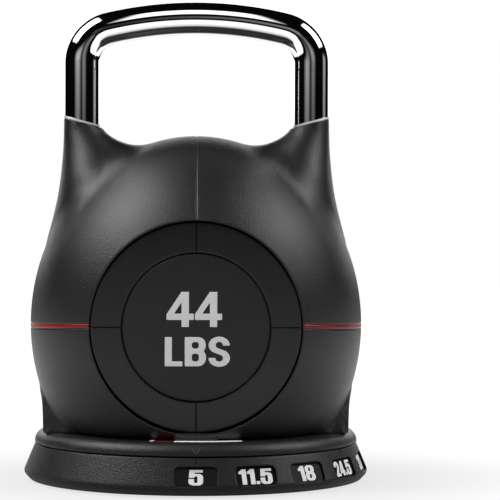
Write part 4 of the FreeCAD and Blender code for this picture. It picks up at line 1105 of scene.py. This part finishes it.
MATERIALS = {
    "shell_black": plastic("shell_plastic", 0.010, 0.38, 1200, 0.00028),
    "ring_black": plastic("ring_plastic", 0.014, 0.38, 1500, 0.00004),
    "badge_black": plastic("badge_plastic", 0.013, 0.46, 1500, 0.00018),
    "band_red": plastic("band_plastic", 0.3, 0.35, 900, 0.00002),
    "chrome_handle": metal("chrome", 0.95, 0.035, 60, 0.000001),
    "collar_silver": metal("collar_metal", 0.95, 0.55, 300, 0.000002),
    "frame_steel": metal("frame_steel_plate", 0.35, 0.45, 500, 0.00004),
    "bright_steel": metal("bright_steel_bar", 0.6, 0.25, 500, 0.00001),
    "cast_plate": plastic("cast_plate_coating", 0.03, 0.55, 700, 0.00015),
    "moulded_black": plastic("moulded_plastic", 0.025, 0.5, 900, 0.0001),
    "base_black": plastic("base_plastic", 0.013, 0.40, 1200, 0.00030),
    "foot_rubber": plastic("rubber", 0.03, 0.8, 600, 0.0001),
    "glide_white": plastic("glide_plastic", 0.75, 0.35, 800, 0.00002),
    # White print and label film; its emission below is a painted glow.
    "label_white": plastic("label_film_painted_glow", 0.93, 0.4, 800, 0.00001),
    "label_red": plastic("label_red_film", 0.4, 0.4, 800, 0.00001),
    # Darker plastic for the window floors and walls: painted shade in the recesses.
    "window_painted_shade": plastic("window_floor_painted_shade", 0.004, 0.36, 1500, 0.00003, 0.25),
    # Light grey for the V on the cover: a painted highlight in place of an engraving.
    "mark_grey": plastic("mark_painted_highlight", 0.10, 0.35, 800, 0.00001),
}
# The white print and white label film are given a painted glow, so they look brighter than their lighting
# makes them, and the red parts take one red.
shader_of(MATERIALS["label_white"]).inputs["Emission Color"].default_value = (1, 1, 1, 1)
shader_of(MATERIALS["label_white"]).inputs["Emission Strength"].default_value = 0.3
for slot_name in ("band_red", "label_red"):
    shader_of(MATERIALS[slot_name]).inputs["Base Color"].default_value = (0.36, 0.004, 0.006, 1)


def paint_frame():
    """Give every CAD node the material of its slot."""
    slots = {part["node"]: part["material_slot"] for part in frame["record"]["subparts"]}
    for name, node in frame["nodes"].items():
        for holder in node.material_slots:
            holder.material = MATERIALS[slots[name]]


# ---- studio ----

def make_camera():
    """Camera level with the body's shoulders, well back, aimed a little to the object's right."""
    data = bpy.data.cameras.new("camera")
    data.sensor_width = 36.0
    data.lens = CAMERA_LENS
    camera = bpy.data.objects.new("camera", data)
    bpy.context.scene.collection.objects.link(camera)
    camera.location = CAMERA_PLACE
    camera.rotation_euler = (Vector(CAMERA_AIM) - camera.location).to_track_quat("-Z", "Y").to_euler()
    camera.rotation_euler.rotate_axis("Z", CAMERA_ROLL)
    bpy.context.scene.camera = camera


def fade_edges(data, edge):
    """Let a light fade out over part of its half width and half height."""
    data.use_nodes = True
    nodes = data.node_tree.nodes
    links = data.node_tree.links
    place = nodes.new("ShaderNodeNewGeometry")
    axes = nodes.new("ShaderNodeSeparateXYZ")
    links.new(place.outputs["Parametric"], axes.inputs["Vector"])
    shares = []
    for axis in ("X", "Y"):
        middle = nodes.new("ShaderNodeMath")
        middle.operation = "SUBTRACT"
        middle.inputs[1].default_value = 0.5
        away = nodes.new("ShaderNodeMath")
        away.operation = "ABSOLUTE"
        ranged = nodes.new("ShaderNodeMapRange")
        ranged.interpolation_type = "SMOOTHSTEP"
        ranged.inputs["From Min"].default_value = 0.5
        ranged.inputs["From Max"].default_value = 0.5 - 0.5 * edge
        links.new(axes.outputs[axis], middle.inputs[0])
        links.new(middle.outputs["Value"], away.inputs[0])
        links.new(away.outputs["Value"], ranged.inputs["Value"])
        shares.append(ranged.outputs["Result"])
    both = nodes.new("ShaderNodeMath")
    both.operation = "MULTIPLY"
    links.new(shares[0], both.inputs[0])
    links.new(shares[1], both.inputs[1])
    links.new(both.outputs["Value"], nodes["Emission"].inputs["Strength"])


def light(name, azimuth, elevation, distance, width, height, radiance, edge=0.35):
    """A rectangular soft light aimed at the object. Azimuth 0 is the front and 90 the right side."""
    data = bpy.data.lights.new(name, "AREA")
    data.shape = "RECTANGLE"
    data.size = width
    data.size_y = height
    data.energy = radiance * width * height * 4
    fade_edges(data, edge)
    lamp = bpy.data.objects.new(name, data)
    bpy.context.scene.collection.objects.link(lamp)
    side = math.radians(azimuth)
    rise = math.radians(elevation)
    target = Vector((0, 0, 0.16))
    away = Vector((math.sin(side) * math.cos(rise), -math.cos(side) * math.cos(rise), math.sin(rise)))
    lamp.location = target + away * distance
    lamp.rotation_euler = (-away).to_track_quat("-Z", "Y").to_euler()


def glow_with_reach(material, near, far, near_strength, far_strength):
    """Let a white glow change with the distance from the middle of an object."""
    nodes = material.node_tree.nodes
    links = material.node_tree.links
    place = nodes.new("ShaderNodeTexCoord")
    reach = nodes.new("ShaderNodeVectorMath")
    reach.operation = "LENGTH"
    ranged = nodes.new("ShaderNodeMapRange")
    ranged.inputs["From Min"].default_value = near
    ranged.inputs["From Max"].default_value = far
    ranged.inputs["To Min"].default_value = near_strength
    ranged.inputs["To Max"].default_value = far_strength
    links.new(place.outputs["Object"], reach.inputs[0])
    links.new(reach.outputs["Value"], ranged.inputs["Value"])
    links.new(ranged.outputs["Result"], shader_of(material).inputs["Emission Strength"])


def stage_piece(name, points, faces, material):
    """A part of the studio that only the camera sees. It neither lights the object nor shows in it."""
    mesh = bpy.data.meshes.new(name)
    mesh.from_pydata(points, [], faces)
    thing = bpy.data.objects.new(name, mesh)
    thing.data.materials.append(material)
    bpy.context.scene.collection.objects.link(thing)
    thing.visible_diffuse = False
    thing.visible_glossy = False
    thing.visible_transmission = False
    thing.visible_volume_scatter = False
    thing.visible_shadow = False
    return thing


def make_floor():
    """Pale floor that glows, more so away from the object, so that it stays even to its edge."""
    material = new_material("floor", (0.12, 0.12, 0.12), 0.9, specular=0.0)
    shader_of(material).inputs["Emission Color"].default_value = (1, 1, 1, 1)
    glow_with_reach(material, 0.12, 0.35, 0.74, 1.0)
    count, reach = 96, 8.0
    angles = [number * 2 * math.pi / count for number in range(count)]
    points = [(reach * math.cos(angle), reach * math.sin(angle), 0) for angle in angles]
    stage_piece("floor", points, [list(range(count))], material)


def make_floor_shine():
    """What the gloss shows of the floor: bright some way off, darker close to the object."""
    material = new_material("floor_shine", (0, 0, 0), 0.9, specular=0.0)
    shader_of(material).inputs["Emission Color"].default_value = (1, 1, 1, 1)
    glow_with_reach(material, 0.13, 0.42, 0.3, 1.1)
    half = 1.6
    points = [(-half, -half, 0), (half, -half, 0), (half, half, 0), (-half, half, 0)]
    sheet = stage_piece("floor_shine", points, [(0, 1, 2, 3)], material)
    sheet.location = (0, 0, -0.002)
    sheet.visible_camera = False
    sheet.visible_glossy = True


def make_backdrop():
    """White dome behind everything."""
    directions, triangles = cube_sphere(12)
    material = new_material("backdrop", (0, 0, 0), 0.5, specular=0.0)
    shader_of(material).inputs["Emission Color"].default_value = (1, 1, 1, 1)
    shader_of(material).inputs["Emission Strength"].default_value = 1.0
    stage_piece("backdrop", (directions * 9).tolist(), triangles.tolist(), material)


def make_world():
    """Dim surroundings, and colours shown as they are."""
    bpy.context.scene.view_settings.view_transform = "Standard"
    world = bpy.data.worlds.new("studio")
    bpy.context.scene.world = world
    world.use_nodes = True
    sky = world.node_tree.nodes["Background"]
    sky.inputs["Color"].default_value = (1, 1, 1, 1)
    sky.inputs["Strength"].default_value = 0.002


def make_lights():
    """Soft boxes: high on the left and right, one above the camera, and narrow strips for the chrome."""
    light("left_box", -86, 50, 2.0, 1.7, 1.4, 5.8)
    light("right_box", 88, 42, 2.0, 1.4, 1.2, 4.6)
    light("front_box", 0, 47, 2.4, 0.9, 1.4, 1.15)
    light("back_box", 180, 14, 2.4, 3.8, 1.1, 1.6)
    light("front_left_strip", -28, 11, 2.4, 2.2, 0.95, 0.36, 0.9)
    light("front_right_strip", 12, 11, 2.4, 1.6, 0.95, 0.2, 0.9)
    light("right_strip", 93, 9, 2.0, 1.2, 0.8, 0.26, 0.9)


make_camera()
make_world()
make_floor()
make_floor_shine()
make_backdrop()
make_lights()
paint_frame()
make_shells()
make_handle()
make_faces()
make_badge_text()
make_number_ring()
make_dial_numbers()
make_mark()
make_cover()
make_strips()
make_tab()
round_blocks()

bpy.context.view_layer.update()
